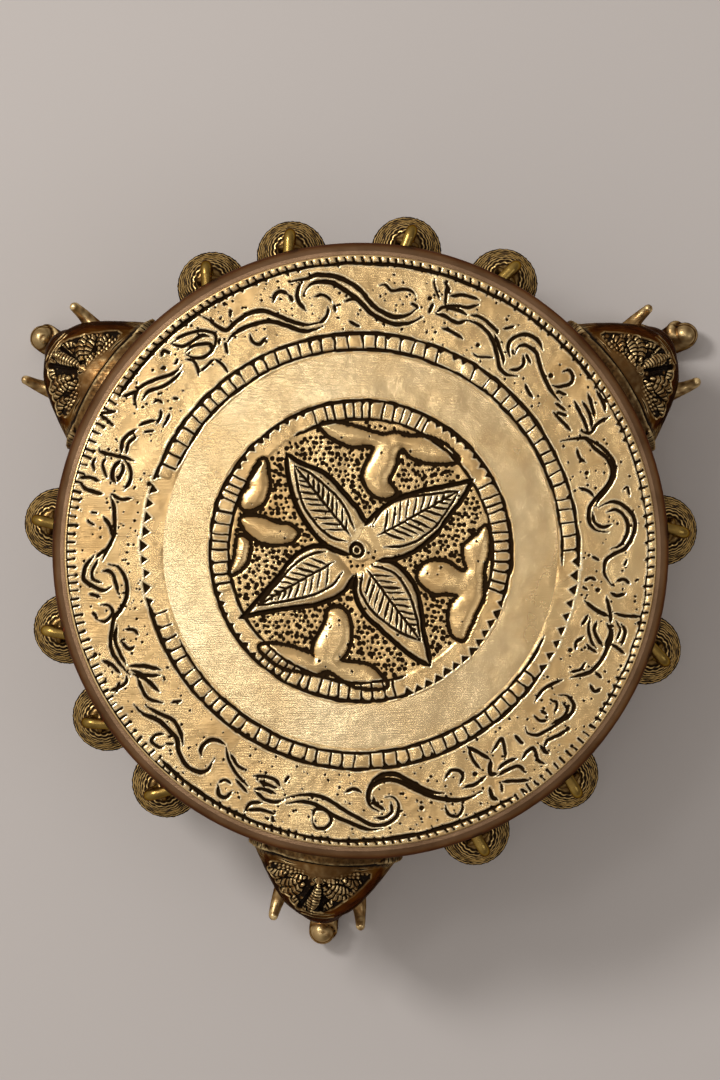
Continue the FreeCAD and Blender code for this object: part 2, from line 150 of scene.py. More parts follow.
# Cuts of the vine, each followed along the photograph, quarter by quarter: the width in tenths of a
# millimetre, then x and y of each point in turn
VINE_NORTH_WEST_PX = (
    (11, 290, 282, 299, 280, 307, 279, 318, 275, 334, 276, 349, 282, 360, 290, 371, 303, 383, 312,
     396, 317, 410, 314, 419, 307),
    (11, 304, 294, 309, 286, 320, 282, 334, 283, 347, 291, 360, 302, 371, 313, 383, 320, 396, 324,
     410, 323, 423, 317),
    (9, 302, 282, 298, 290, 298, 301, 306, 311),
    (7, 314, 297, 322, 295, 328, 298, 331, 302),
    (7, 334, 304, 336, 312),
    (8, 328, 307, 328, 314, 323, 321, 318, 323),
    (10, 226, 344, 232, 336, 244, 328, 259, 323, 272, 322, 288, 326, 303, 331, 314, 330, 323, 326),
    (10, 200, 316, 211, 322, 226, 330, 236, 322, 249, 313, 263, 311, 278, 316, 293, 322, 307, 325, 318, 323),
    (7, 230, 309, 231, 317),
    (6, 243, 314, 253, 311),
    (8, 250, 334, 253, 342, 260, 344, 267, 337),
    (9, 273, 302, 276, 294, 282, 291, 289, 295),
    (8, 290, 295, 292, 302),
    (7, 344, 301, 353, 299, 362, 302),
    (7, 349, 321, 360, 327),
    (8, 171, 344, 182, 336, 194, 332, 205, 331, 215, 334, 216, 342, 213, 351),
    (8, 171, 344, 182, 347, 190, 344, 201, 336, 211, 337),
    (8, 186, 353, 192, 347, 202, 344, 211, 344, 211, 351, 203, 357, 194, 358, 186, 355),
    (8, 182, 365, 175, 372, 163, 377, 150, 382, 140, 388, 135, 399, 137, 409),
    (8, 182, 371, 167, 384, 158, 388, 148, 392, 142, 401),
    (8, 123, 397, 137, 392),
    (7, 186, 360, 194, 361, 198, 369, 199, 376),
    (7, 200, 372, 207, 365, 215, 359),
    (7, 215, 359, 223, 365, 228, 373),
    (7, 220, 338, 219, 344),
    (7, 225, 342, 228, 354),
    (8, 161, 357, 164, 351, 170, 354),
    (7, 175, 365, 178, 359),
    (6, 153, 403, 158, 400, 163, 403),
    (6, 173, 398, 179, 399),
    (7, 139, 425, 150, 421, 156, 420),
    (7, 161, 409, 161, 416, 156, 424),
    (7, 170, 413, 167, 420, 163, 426),
    (6, 144, 432, 154, 430),
    (9, 121, 453, 123, 441, 129, 434, 137, 429),
    (8, 126, 453, 129, 443, 138, 436),
    (7, 96, 457, 93, 463, 95, 471),
    (7, 106, 457, 103, 464, 105, 472, 108, 478),
    (9, 121, 460, 114, 468, 113, 478, 116, 483),
    (8, 122, 462, 123, 470, 117, 482),
    (8, 125, 460, 130, 468, 130, 480, 124, 490),
    (8, 99, 447, 101, 452, 117, 456, 123, 457, 135, 461),
    (8, 79, 478, 89, 477, 100, 481),
    (9, 81, 484, 89, 490, 104, 494),
    (8, 112, 494, 121, 499, 132, 498),
    (9, 111, 495, 114, 506, 115, 522, 114, 535, 108, 549, 102, 561),
    (8, 103, 516, 110, 525, 112, 537),
    (6, 91, 512, 98, 513),
    (6, 87, 521, 95, 526),
    (7, 98, 414, 117, 411),
    (7, 101, 418, 108, 420, 114, 426),
)
VINE_NORTH_EAST_PX = (
    (7, 379, 286, 385, 285, 392, 291, 402, 289, 410, 290, 416, 295),
    (7, 411, 303, 419, 307),
    (8, 429, 313, 433, 303),
    (5, 434, 279, 435, 288, 440, 299),
    (6, 444, 282, 449, 289, 448, 294),
    (7, 447, 284, 445, 305),
    (8, 450, 296, 463, 295, 480, 300),
    (8, 446, 305, 459, 306, 469, 308, 480, 304),
    (9, 436, 313, 444, 307, 457, 310, 467, 315),
    (9, 436, 314, 446, 317, 457, 323, 467, 320),
    (8, 471, 315, 482, 318, 492, 326, 498, 334),
    (9, 467, 321, 478, 324, 488, 332, 494, 344, 498, 358, 500, 368, 507, 375, 519, 376),
    (8, 494, 334, 499, 346, 503, 357, 504, 365),
    (9, 510, 357, 508, 347, 513, 338, 526, 334, 538, 340, 543, 350),
    (9, 515, 354, 519, 346, 528, 346, 537, 353, 540, 365, 545, 378, 551, 391, 561, 403),
    (8, 509, 370, 519, 369, 524, 363, 523, 355),
    (7, 526, 354, 531, 363),
    (8, 442, 328, 452, 332, 463, 339),
    (5, 472, 353, 479, 357, 494, 358),
    (7, 526, 384, 528, 391, 533, 398),
    (7, 503, 329, 515, 326),
    (7, 497, 329, 497, 334),
    (8, 563, 372, 569, 370, 573, 376, 570, 384, 559, 387, 552, 386),
    (8, 553, 412, 563, 422, 571, 431),
    (8, 557, 412, 568, 416),
    (7, 555, 403, 567, 411),
    (7, 557, 391, 566, 395),
    (8, 574, 401, 580, 412, 586, 426, 588, 434),
    (8, 582, 401, 590, 414, 592, 428),
    (8, 588, 393, 593, 409, 595, 418),
    (8, 597, 391, 603, 403, 605, 412),
    (8, 580, 431, 590, 433, 597, 424, 609, 416),
    (9, 561, 441, 576, 439, 586, 439, 595, 449, 607, 458, 612, 470, 609, 483, 599, 495, 590, 508, 590, 522,
     597, 530, 609, 532),
    (9, 586, 437, 601, 447, 612, 458, 615, 470, 611, 483, 601, 497, 595, 507),
    (8, 593, 512, 595, 522, 603, 527, 612, 524),
    (9, 599, 508, 611, 502, 624, 506, 634, 518, 634, 533, 626, 548, 614, 554, 605, 562, 605, 575, 612, 586),
    (8, 607, 512, 616, 510, 626, 518, 628, 531, 622, 544, 611, 549),
    (7, 577, 449, 580, 458, 586, 463),
    (7, 579, 487, 588, 491, 594, 497),
    (5, 623, 491, 628, 487, 630, 497),
)
VINE_SOUTH_EAST_PX = (
    (7, 592, 557, 599, 561),
    (8, 616, 582, 624, 579, 631, 584),
    (8, 611, 593, 618, 596, 626, 593),
    (6, 624, 566, 627, 560),
    (7, 584, 582, 590, 578, 596, 580),
    (6, 582, 587, 588, 590),
    (9, 585, 601, 595, 609, 609, 617),
    (8, 607, 596, 610, 613, 611, 625),
    (8, 614, 614, 628, 616, 641, 617),
    (8, 582, 625, 588, 615),
    (7, 590, 617, 589, 630, 592, 642, 597, 648),
    (8, 597, 621, 595, 632, 603, 646),
    (8, 607, 623, 611, 632, 605, 646),
    (9, 611, 626, 612, 636, 603, 657, 590, 672, 570, 678),
    (8, 621, 624, 625, 632, 622, 646),
    (5, 616, 621, 620, 630, 616, 642),
    (8, 612, 644, 625, 654),
    (7, 575, 650, 576, 642, 584, 636),
    (7, 586, 644, 597, 653),
    (7, 586, 662, 580, 670, 570, 672),
    (8, 595, 672, 602, 678),
    (8, 590, 684, 595, 691, 601, 688),
    (8, 562, 679, 549, 686, 540, 693, 535, 703),
    (8, 559, 695, 568, 696, 574, 705, 570, 716, 561, 722, 551, 728, 538, 735, 528, 733, 525, 727),
    (7, 551, 701, 557, 703, 555, 714),
    (8, 563, 703, 568, 709, 563, 718, 551, 724),
    (8, 541, 711, 547, 714),
    (7, 534, 716, 540, 721, 548, 720),
    (8, 568, 729, 559, 735, 547, 741, 544, 749),
    (8, 515, 735, 524, 744),
    (9, 467, 747, 479, 753, 491, 760),
    (8, 469, 749, 473, 760, 480, 769),
    (8, 492, 753, 502, 739, 505, 751, 505, 760),
    (8, 517, 758, 507, 762, 498, 770),
    (8, 526, 773, 517, 766, 498, 776),
    (8, 530, 780, 502, 782),
    (7, 501, 783, 502, 793),
    (9, 490, 787, 492, 797, 498, 800),
    (8, 521, 760, 528, 751, 534, 749, 538, 760, 546, 764),
    (8, 540, 745, 544, 751, 549, 753),
    (10, 491, 760, 490, 773, 498, 774),
    (8, 486, 776, 477, 783, 463, 788),
    (11, 482, 791, 467, 799, 450, 800, 433, 797, 417, 790, 406, 784, 394, 780, 383, 780, 371, 787,
     368, 797, 370, 806, 379, 812),
    (11, 444, 793, 431, 792, 417, 785, 408, 780, 398, 775, 387, 774, 375, 779, 369, 786),
    (8, 373, 797, 375, 804, 385, 810),
    (9, 385, 797, 394, 797, 399, 806, 396, 818, 385, 825, 371, 825, 360, 819, 347, 812, 335, 804, 324, 798,
     311, 795, 295, 796, 284, 799),
    (8, 391, 802, 392, 812, 385, 818, 375, 818),
    (9, 383, 829, 371, 830, 360, 827, 342, 820, 328, 812, 314, 804, 299, 802, 286, 804),
    (8, 444, 780, 450, 771, 458, 770, 463, 776, 459, 785),
    (7, 445, 806, 448, 814, 457, 817, 462, 810, 461, 803),
    (6, 446, 803, 453, 800, 460, 802),
    (7, 522, 789, 528, 793),
    (6, 534, 782, 540, 785),
)
VINE_SOUTH_WEST_PX = (
    (9, 94, 556, 85, 567, 84, 579, 92, 586, 104, 590, 112, 586),
    (7, 98, 560, 92, 571, 93, 580, 102, 583),
    (8, 102, 571, 110, 571, 115, 579, 119, 594),
    (9, 108, 564, 119, 567, 127, 582, 127, 596, 121, 609, 114, 619, 111, 636, 112, 651, 121, 665, 131, 676),
    (8, 89, 594, 100, 596),
    (7, 100, 605, 108, 605, 113, 613, 106, 621, 98, 620),
    (7, 93, 613, 97, 617),
    (8, 117, 625, 115, 638, 119, 651, 127, 665),
    (7, 125, 629, 134, 630, 138, 635),
    (8, 121, 642, 129, 649, 134, 646),
    (9, 129, 666, 144, 666, 161, 670),
    (8, 131, 670, 146, 675, 161, 676),
    (9, 133, 674, 144, 678, 154, 686, 160, 692),
    (8, 137, 677, 142, 688, 148, 698, 163, 703),
    (7, 171, 703, 182, 701),
    (8, 102, 661, 112, 665, 121, 674),
    (8, 127, 676, 125, 684, 110, 691),
    (7, 120, 682, 116, 692),
    (10, 134, 705, 144, 714, 158, 720, 167, 728, 177, 739, 179, 751, 186, 764, 198, 772, 207, 770, 214, 758),
    (9, 146, 706, 160, 714, 173, 720, 180, 732, 183, 745),
    (8, 164, 734, 156, 735, 151, 741, 158, 747, 164, 746),
    (6, 167, 737, 173, 736),
    (6, 165, 744, 175, 744),
    (9, 201, 757, 201, 749, 209, 741, 219, 741, 226, 745),
    (7, 226, 747, 228, 758, 234, 770, 242, 780, 249, 787),
    (7, 230, 753, 238, 766, 246, 770),
    (9, 217, 785, 219, 795, 226, 797, 233, 791),
    (6, 218, 783, 225, 780, 232, 784),
    (8, 254, 776, 267, 777, 276, 780, 281, 787),
    (8, 259, 781, 270, 785, 278, 788),
    (8, 255, 789, 265, 789, 276, 794),
    (8, 255, 791, 265, 799, 276, 802, 284, 800),
    (8, 244, 812, 251, 804, 263, 802),
    (8, 246, 811, 261, 810, 275, 814),
    (7, 289, 775, 285, 782),
    (7, 236, 780, 247, 792),
    (8, 345, 793, 353, 789, 361, 791),
    (7, 272, 822, 272, 815),
    (8, 312, 820, 314, 811, 322, 809, 329, 813, 331, 821, 325, 828, 316, 827, 312, 820),
    (8, 106, 549, 96, 558),
)
VINE_DOTS_PX = (164, 368, 551, 376, 478, 345, 587, 473, 475, 774, 422, 808, 598, 590, 570, 650, 568, 729,
                149, 484, 95, 655, 225, 700, 248, 735, 430, 298, 366, 296, 244, 560)

# Leaves of the middle, from the root round the tip and back, and the inner leaf drawn in each
LEAVES_PX = (
    ((366, 524, 359, 510, 343, 492, 326, 474, 302, 463, 286, 453),
     (286, 453, 288, 475, 294, 498, 304, 520, 320, 541, 339, 552, 351, 555),
     (355, 530, 343, 504, 326, 486, 310, 473, 295, 465),
     (295, 466, 298, 486, 304, 506, 314, 522, 330, 537, 347, 542)),
    ((365, 526, 375, 514, 394, 500, 416, 492, 441, 487, 465, 482, 474, 479),
     (474, 479, 463, 498, 451, 514, 435, 535, 416, 551, 396, 559, 380, 560),
     (372, 525, 384, 508, 404, 498, 431, 494, 459, 491),
     (459, 491, 445, 514, 429, 533, 408, 545, 384, 547)),
    ((376, 561, 390, 561, 404, 571, 416, 588, 421, 608, 424, 631, 428, 649, 430, 666),
     (430, 666, 416, 659, 400, 647, 380, 629, 363, 612, 355, 594, 356, 574),
     (370, 565, 394, 573, 408, 592, 416, 614, 421, 641),
     (421, 641, 398, 631, 374, 612, 361, 592, 363, 573)),
    ((331, 546, 310, 547, 290, 561, 278, 577, 261, 596, 247, 612, 239, 618),
     (239, 618, 261, 613, 286, 609, 314, 605, 335, 598, 347, 588, 354, 575),
     (327, 551, 310, 555, 292, 567, 277, 584, 257, 606),
     (257, 606, 281, 602, 310, 596, 331, 586, 343, 571)),
)
# Sprigs of the middle, each a closed outline
SPRIGS_PX = (
    (322, 426, 336, 424, 356, 428, 374, 434, 384, 436, 396, 434, 407, 437, 425, 438, 443, 445, 457, 459,
     443, 462, 425, 461, 411, 455, 403, 447, 397, 453, 394, 467, 388, 481, 395, 492, 386, 497, 373, 493,
     365, 481, 366, 468, 373, 455, 375, 447, 366, 444, 350, 445, 335, 438, 325, 431),
    (486, 527, 489, 538, 488, 554, 483, 568, 483, 582, 482, 597, 475, 613, 467, 632, 462, 639, 453, 633,
     450, 619, 452, 605, 459, 595, 447, 592, 436, 593, 426, 587, 419, 578, 422, 567, 432, 562, 447, 563,
     461, 572, 468, 569, 465, 558, 465, 547, 472, 540, 480, 534),
    (261, 647, 277, 645, 295, 649, 309, 655, 314, 658, 314, 647, 321, 633, 327, 620, 329, 611, 340, 609,
     348, 617, 350, 637, 345, 653, 340, 661, 354, 664, 369, 667, 380, 676, 386, 685, 375, 688, 356, 685,
     340, 677, 328, 670, 317, 673, 305, 671, 285, 667, 269, 657),
    (265, 461, 268, 477, 267, 492, 261, 504, 249, 509, 242, 506, 243, 496, 249, 488, 251, 479, 259, 465),
    (243, 518, 261, 518, 277, 524, 290, 526, 297, 533, 292, 541, 280, 543, 263, 542, 251, 535, 244, 527),
    (239, 537, 248, 541, 249, 551, 245, 563, 237, 571, 231, 573, 235, 561, 237, 551),
)
KNOB_PX = (357, 550)

# Camera
FRAME_PX = (720, 1080)
CAMERA_ABOVE_TOP = 765.0
LENS_MM = 85.0
SENSOR_MM = 36.0

# Meshes of the disc
DISC_THICKNESS = 4.0
DISC_EDGE_ROUND = 0.6
MIDDLE_RADIUS = 46.4
MIDDLE_STEPS = 308
BAND_START = 59.2
BAND_STEP = 0.3
PLAIN_STEP = 1.1
TURNS = 1560
FADE_WIDTH = 0.8
PIT_RADII = (0.3, 0.6)
PIT_DEPTHS = (0.05, 0.2)
# Unevenness in layers, each with its height, pitch and seed
DISC_LAYERS = ((0.16, 9.0, 21), (0.11, 4.1, 22), (0.05, 1.9, 23))
BELL_LAYERS = ((0.08, 1.6, 41), (0.08, 3.9, 42))

# Heads, by the names of their nodes, with the azimuth of each
HEADS = {"leg_right": 33.3, "leg_left": 146.3, "leg_front": 263.3}
CAP_SHIFTS = {"leg_right": -1.6, "leg_left": 2.0, "leg_front": -2.2}
CAP_SINK = 0.45
CAP_START = 96.8
COLLAR_END = 97.0
CAP_TOP_DEPTH = 16.0
CAP_EDGE_DEPTH = 44.0
CAP_WAVER = 0.09
BOSS_MARGIN = 0.7
BOSS_OUTLINE = 0.6
BAR_DEPTH = 0.42
TRUNK_OUT = 108.0
CREASE_PITCH = 3.1
CREASE_DEPTHS = (54, 84)
CREASE_SINK = 0.34
EAR_ROOT = (13.5, 24.0)
EAR_START = 17.5
EAR_FRONT = 102.0
VEIN_SINK = 0.16
EYE_PLACE = (106.0, 11.8, -41.5)
EYE_RINGS = ((3.0, 0.42), (3.9, 0.45))
LID_RISE = 0.4
SOCKET_SINK = 0.35
HEAD_VOXEL = 0.34

# Bells
BELL_VOXEL = 0.28
BELL_ROW = 1.3
BELL_WALL_SHARE = 0.27
BELL_SCALLOPS = 13
BELL_CROWN_DEPTH = 5.0
BELL_LEVEL = 0.5
BELL_LOOP_DEPTH = 5.4
BELL_LOOP_REACH = 3.0
BELL_LINE_RISE = 0.34
BELL_GROUND_SINK = 0.2

# Materials and light. Texture scales are per metre.
RAG_SCALE = 1100.0
MARKS_SCALE = 170.0
GRIT_SCALE = 520.0
BUMP_M = 0.0005
FLOOR_HALF = 20000.0
BRIGHT_SIDE = (-0.80, 0.30, 0.30)
DIM_SKY = (0.23, 0.197, 0.166)
BRIGHT_SKY = (0.84, 0.78, 0.70)
# Name, place, size, power, colour and, for one, what it looks at
LAMPS = (
    ("key", (-700, 520, 900), (260, 260), 8.2, (1.0, 0.96, 0.90)),
    ("fill", (800, -300, 900), (600, 600), 1.2, (0.95, 0.97, 1.0)),
    ("glow", (-118, 20, 1200), (75, 260), 0.44, (1.0, 0.98, 0.95), (-118, 20, 0)),
    ("high_key", (-420, 300, 1100), (150, 150), 0.9, (1.0, 0.97, 0.92)),
)

rng = np.random.default_rng(SEED)


# Geometry and cutting

def from_px(numbers):
    """Places on the table's top, from a flat row of the photograph's pixel coordinates, x and y in turn."""
    x, y = np.asarray(numbers, float).reshape(-1, 2).T
    return np.column_stack(((x - TABLE_CENTRE_PX[0]) * PIXEL_MM, (TABLE_CENTRE_PX[1] - y) * PIXEL_MM))


def unit(degrees):
    angle = math.radians(degrees)
    return np.array((math.cos(angle), math.sin(angle)))


def smooth_line(points, parts=5, closed=False):
    """A curve through the points, as a fine polyline."""
    p = np.asarray(points, float)
    if closed:
        ends = np.vstack((p[-1], p, p[0], p[1]))
    else:
        ends = np.vstack((2 * p[0] - p[1], p, 2 * p[-1] - p[-2]))
    out = []
    for i in range(len(ends) - 3):
        a, b, c, d = ends[i:i + 4]
        for k in range(parts):
            t = k / parts
            out.append(0.5 * (2 * b + (c - a) * t + (2 * a - 5 * b + 4 * c - d) * t * t
                              + (3 * b - a - 3 * c + d) * t ** 3))
    out.append(p[0] if closed else p[-1])
    return np.array(out)


def nearest(points, line):
    """Distance from each point to a polyline, and the share of its length at the nearest spot."""
    start, along = line[:-1], line[1:] - line[:-1]
    lengths = np.linalg.norm(along, axis=1)
    before = np.concatenate(((0.0,), np.cumsum(lengths)))
    best = np.full(len(points), np.inf)
    share = np.zeros(len(points))
    for i in range(len(start)):
        if lengths[i] == 0:
            continue
        t = np.clip((points - start[i]) @ along[i] / lengths[i] ** 2, 0, 1)
        gap = np.linalg.norm(points - start[i] - t[:, None] * along[i], axis=1)
        closer = gap < best
        best[closer] = gap[closer]
        share[closer] = (before[i] + t[closer] * lengths[i]) / before[-1]
    return best, share


def inside(points, outline):
    """Which points lie inside a closed outline."""
    x, y = points[:, 0], points[:, 1]
    result = np.zeros(len(points), bool)
    for (x0, y0), (x1, y1) in zip(outline, np.roll(outline, -1, axis=0)):
        if y0 == y1:
            continue
        crosses = (y0 > y) != (y1 > y)
        result ^= crosses & (x < (x1 - x0) * (y - y0) / (y1 - y0) + x0)
    return result


def ease(value):
    value = np.clip(value, 0, 1)
    return value * value * (3 - 2 * value)


def noise(points, pitch, seed):
    """Smooth random values from -1 to 1 over the plane, with a knot at every pitch."""
    knots = np.random.default_rng(seed).uniform(-1, 1, (NOISE_KNOTS, NOISE_KNOTS))
    place = points / pitch
    low = np.floor(place).astype(int)
    share = ease(place - low)
    i, j = low.T % NOISE_KNOTS
    i_next, j_next = (low.T + 1) % NOISE_KNOTS
    near_row = knots[i, j] * (1 - share[:, 0]) + knots[i_next, j] * share[:, 0]
    far_row = knots[i, j_next] * (1 - share[:, 0]) + knots[i_next, j_next] * share[:, 0]
    return near_row * (1 - share[:, 1]) + far_row * share[:, 1]


def cut_share(gap, half):
    """How deep a cut is, by the gap to its middle: 1 there, 0 at its edge, -1 at its lip's outer side."""
    inner = 1 - gap / np.maximum(half, 1e-6)
    return np.where(inner > 0, inner, (half - gap) / LIP_WIDTH)


def uneven(points, layers):
    return sum(height * noise(points, pitch, seed) for height, pitch, seed in layers)


class Relief:
    """Heights over a set of points of the disc's face, which lines and dots are cut into."""

    def __init__(self, points, waver=WAVER):
        self.flat = points
        shake = np.column_stack([noise(points, SHAKE_PITCH, seed) for seed in (11, 12)])
        drift = np.column_stack([noise(points, DRIFT_PITCH, seed) for seed in (13, 14)])
        self.points = points + waver * shake + DRIFT_RATIO * waver * drift
        self.cut, self.lip, self.dirt, self.wave = np.zeros((4, len(points)))

    def near(self, shape, margin=0.0):
        """Which points lie in the box round a spot or a line."""
        low, high = np.atleast_2d(shape).min(0) - margin, np.atleast_2d(shape).max(0) + margin
        x, y = self.points.T
        return np.nonzero((x > low[0]) & (x < high[0]) & (y > low[1]) & (y < high[1]))[0]

    def sink(self, where, depth, share):
        """Cuts to a depth. The share is 1 at the cut's bottom, 0 at its edge, and below 0 outside it."""
        self.cut[where] = np.maximum(self.cut[where], depth * ease(share * CUT_STEEPNESS))
        self.dirt[where] = np.maximum(self.dirt[where], ease(share / SOIL_SHARE))
        self.lip[where] = np.maximum(self.lip[where], (share < 0) * ease(1 + share))

    def line(self, points, width, depth, taper=0.0):
        line = np.asarray(points, float)
        where = self.near(line, width + LIP_WIDTH)
        if not len(where):
            return
        gap, share = nearest(self.points[where], line)
        half = np.full(len(gap), width / 2)
        if taper:
            half *= 0.3 + 0.7 * ease(np.minimum(share, 1 - share) / taper)
        self.sink(where, depth, cut_share(gap, half))

    def dot(self, centre, radius, depth):
        where = self.near(centre, radius)
        self.sink(where, depth, 1 - np.linalg.norm(self.points[where] - centre, axis=1) / radius)

    def bead(self, azimuth, radius, half_out, half_side, height=BEAD_DOME):
        """A rounded swelling between cuts."""
        out, side = unit(azimuth), unit(azimuth + 90)
        where = self.near(out * radius, max(half_out, half_side))
        p = self.points[where] - out * radius
        a = np.clip(1 - (p @ out / half_out) ** 2, 0, 1)
        b = np.clip(1 - (p @ side / half_side) ** 2, 0, 1)
        self.wave[where] += height * np.sqrt(a * b)

    def notch(self, azimuth, radius, size):
        """A three-cornered punch mark that points inwards."""
        out, side = unit(azimuth), unit(azimuth + 90)
        where = self.near(out * radius, size)
        p = self.points[where] - out * radius
        a, b = p @ out, p @ side
        inner = np.minimum(size / 2 - a, (size / 2 + a) - np.abs(b) * 1.3) / (size * 0.36)
        self.sink(where, CUT_DEPTH, inner)

    def ring(self, radius, width, depth=CUT_DEPTH, gaps=(), drift=NO_DRIFT):
        """A ring cut by hand: its radius and width waver a little, and it fades out over the gaps."""
        p = self.points
        away = np.hypot(p[:, 0], p[:, 1])
        reach = width + LIP_WIDTH + max(abs(offset) for _, offset in drift)
        where = np.nonzero(np.abs(away - radius) < reach)[0]
        angle = np.arctan2(p[where, 1], p[where, 0])
        waver = RING_WAVER * (np.sin(5 * angle + radius) + 0.6 * np.sin(13 * angle + 2 * radius)
                              + 0.4 * np.sin(31 * angle + 3 * radius))
        half = width / 2 * (1 + 0.16 * np.sin(7 * angle + radius) + 0.14 * np.sin(43 * angle))
        turn = np.degrees(angle)
        for start, length in gaps:
            along = (turn - start) % 360
            edge = np.minimum(along, length - along)
            half = np.where(along < length, half * np.clip(1 - edge / GAP_FADE_DEGREES, 0, 1), half)
        gap = np.abs(away[where] - radius - waver - np.interp(turn % 360, *zip(*drift)))
        self.sink(where, depth, np.where(half < THINNEST_CUT, -1, cut_share(gap, half)))

    def lips(self):
        """The raised lips beside the cuts, where no other cut takes them away."""
        return self.lip * (self.cut < HARDLY_CUT)

    def height(self):
        return self.wave + LIP_HEIGHT * self.lips() - self.cut


def in_gap(angle, gaps):
    return any((angle - start) % 360 < length for start, length in gaps)


def carve_ladder(relief, radii, step, outer_gaps, inner_gaps, bar_gaps):
    """Two rings with bars between. Three-cornered punch marks stand where the outer one is missing."""
    inner, outer = radii
    relief.ring(inner, LADDER_CUTS[0], gaps=inner_gaps)
    relief.ring(outer, LADDER_CUTS[1], gaps=outer_gaps)
    middle = (inner + outer) / 2
    large, medium, small = PUNCH_SIZES
    angle = 0.0
    while angle < 360:
        if in_gap(angle, outer_gaps):
            place = outer - LONE_PUNCH_INSET + rng.uniform(-0.3, 0.3)
            relief.notch(angle, place, large * rng.uniform(0.8, 1.15))
            angle += math.degrees(step * 1.05 / middle)
            continue
        stride = step * rng.uniform(0.75, 1.25)
        if in_gap(angle, bar_gaps):
            relief.notch(angle, outer - PUNCH_INSET, medium * rng.uniform(0.7, 1.1))
        else:
            lean = rng.uniform(-0.5, 0.5)
            relief.line([unit(angle) * (inner + BAR_INSET), unit(angle + lean) * (outer - BAR_INSET)],
                        FINE_CUT * rng.uniform(0.8, 1.3), FINE_DEPTH)
            half_turn = math.degrees(stride / middle) / 2
            half_out = (outer - inner) / 2 - BAR_BEAD_INSET
            relief.bead(angle + half_turn, middle, half_out, stride / 2 - BAR_INSET)
        if rng.uniform() < 0.6:
            relief.notch(angle + rng.uniform(-0.4, 0.4), outer - PUNCH_INSET, small)
        angle += math.degrees(stride / middle)


def carve_edge(relief):
    """The disc's border: a groove and slanted strokes where it is beaded, and long ticks where it isn't."""
    for radius, width, depth, gaps, drift in (
            (EDGE_GROOVE, EDGE_CUTS[0], CUT_DEPTH * 1.5, ((146, 82), (300, 98)), EDGE_DRIFT),
            (EDGE_GROOVE, EDGE_CUTS[1], FINE_DEPTH, ((37, 288),), EDGE_DRIFT),
            (EDGE_GROOVE + EDGE_LINE_GAP, EDGE_CUTS[2], FINE_DEPTH * 1.4, ((-130, 272),), NO_DRIFT)):
        relief.ring(radius, width, depth, gaps, drift)
    angle = 0.0
    while angle < 360:
        ticked = in_gap(angle, ((146, 80), (302, 26)))
        groove = EDGE_GROOVE + np.interp(angle, *zip(*EDGE_DRIFT))
        stride = rng.uniform(*EDGE_STRIDES)
        lean = rng.uniform(0.25, 0.6)
        foot = groove
        if ticked:
            lean = rng.uniform(-0.1, 0.15)
            foot = groove - rng.uniform(*EDGE_TICK_SLIPS)
        half_turn = math.degrees(stride / groove) / 2
        relief.line([unit(angle) * foot, unit(angle + lean) * (DISC_RADIUS - EDGE_STROKE_INSET)],
                    EDGE_STROKE * rng.uniform(0.8, 1.25), FINE_DEPTH * 2)
        if ticked:
            if rng.uniform() < 0.6:
                relief.dot(unit(angle) * foot, rng.uniform(*EDGE_TICK_DOTS), FINE_DEPTH * 1.4)
        else:
            half_out = (DISC_RADIUS - groove) / 2 - EDGE_BEAD_INSETS[0]
            relief.bead(angle + half_turn + lean / 2, groove + EDGE_BEAD_GAP + half_out, half_out,
                        stride / 2 - EDGE_BEAD_INSETS[1], BEAD_DOME * 1.7)
            if rng.uniform() < 0.5:
                relief.notch(angle + rng.uniform(-0.3, 0.3), groove - EDGE_PUNCH_INSET, EDGE_PUNCH)
        angle += 2 * half_turn


def carve_vine(relief):
    for quarter in (VINE_NORTH_WEST_PX, VINE_NORTH_EAST_PX, VINE_SOUTH_EAST_PX, VINE_SOUTH_WEST_PX):
        for tenths, *numbers in quarter:
            line = from_px(numbers)
            line = smooth_line(line) if len(line) > 2 else line
            relief.line(line, tenths / 10 * VINE_BOLD, CUT_DEPTH * rng.uniform(1.0, 1.4), taper=0.2)
    for spot in from_px(VINE_DOTS_PX):
        relief.dot(spot, VINE_DOT, FINE_DEPTH * 1.4)


def stipple(relief, standing):
    """Punched dots, close together, wherever nothing stands in the middle."""
    count = int(INNER_LADDER[0] / STIPPLE_PITCH)
    for row in range(-count, count + 1):
        for column in range(-count, count + 1):
            spot = np.array((column + 0.5 * (row % 2), row)) * STIPPLE_PITCH
            spot += rng.uniform(-STIPPLE_JITTER, STIPPLE_JITTER, 2)
            radius = rng.uniform(*STIPPLE_RADII)
            where = relief.near(spot, radius)
            if np.linalg.norm(spot) < INNER_LADDER[0] - STIPPLE_MARGIN and not standing[where].any():
                away = np.linalg.norm(relief.points[where] - spot, axis=1)
                relief.sink(where, FIELD_SINK + FINE_DEPTH, 1.1 - 1.1 * away / radius)


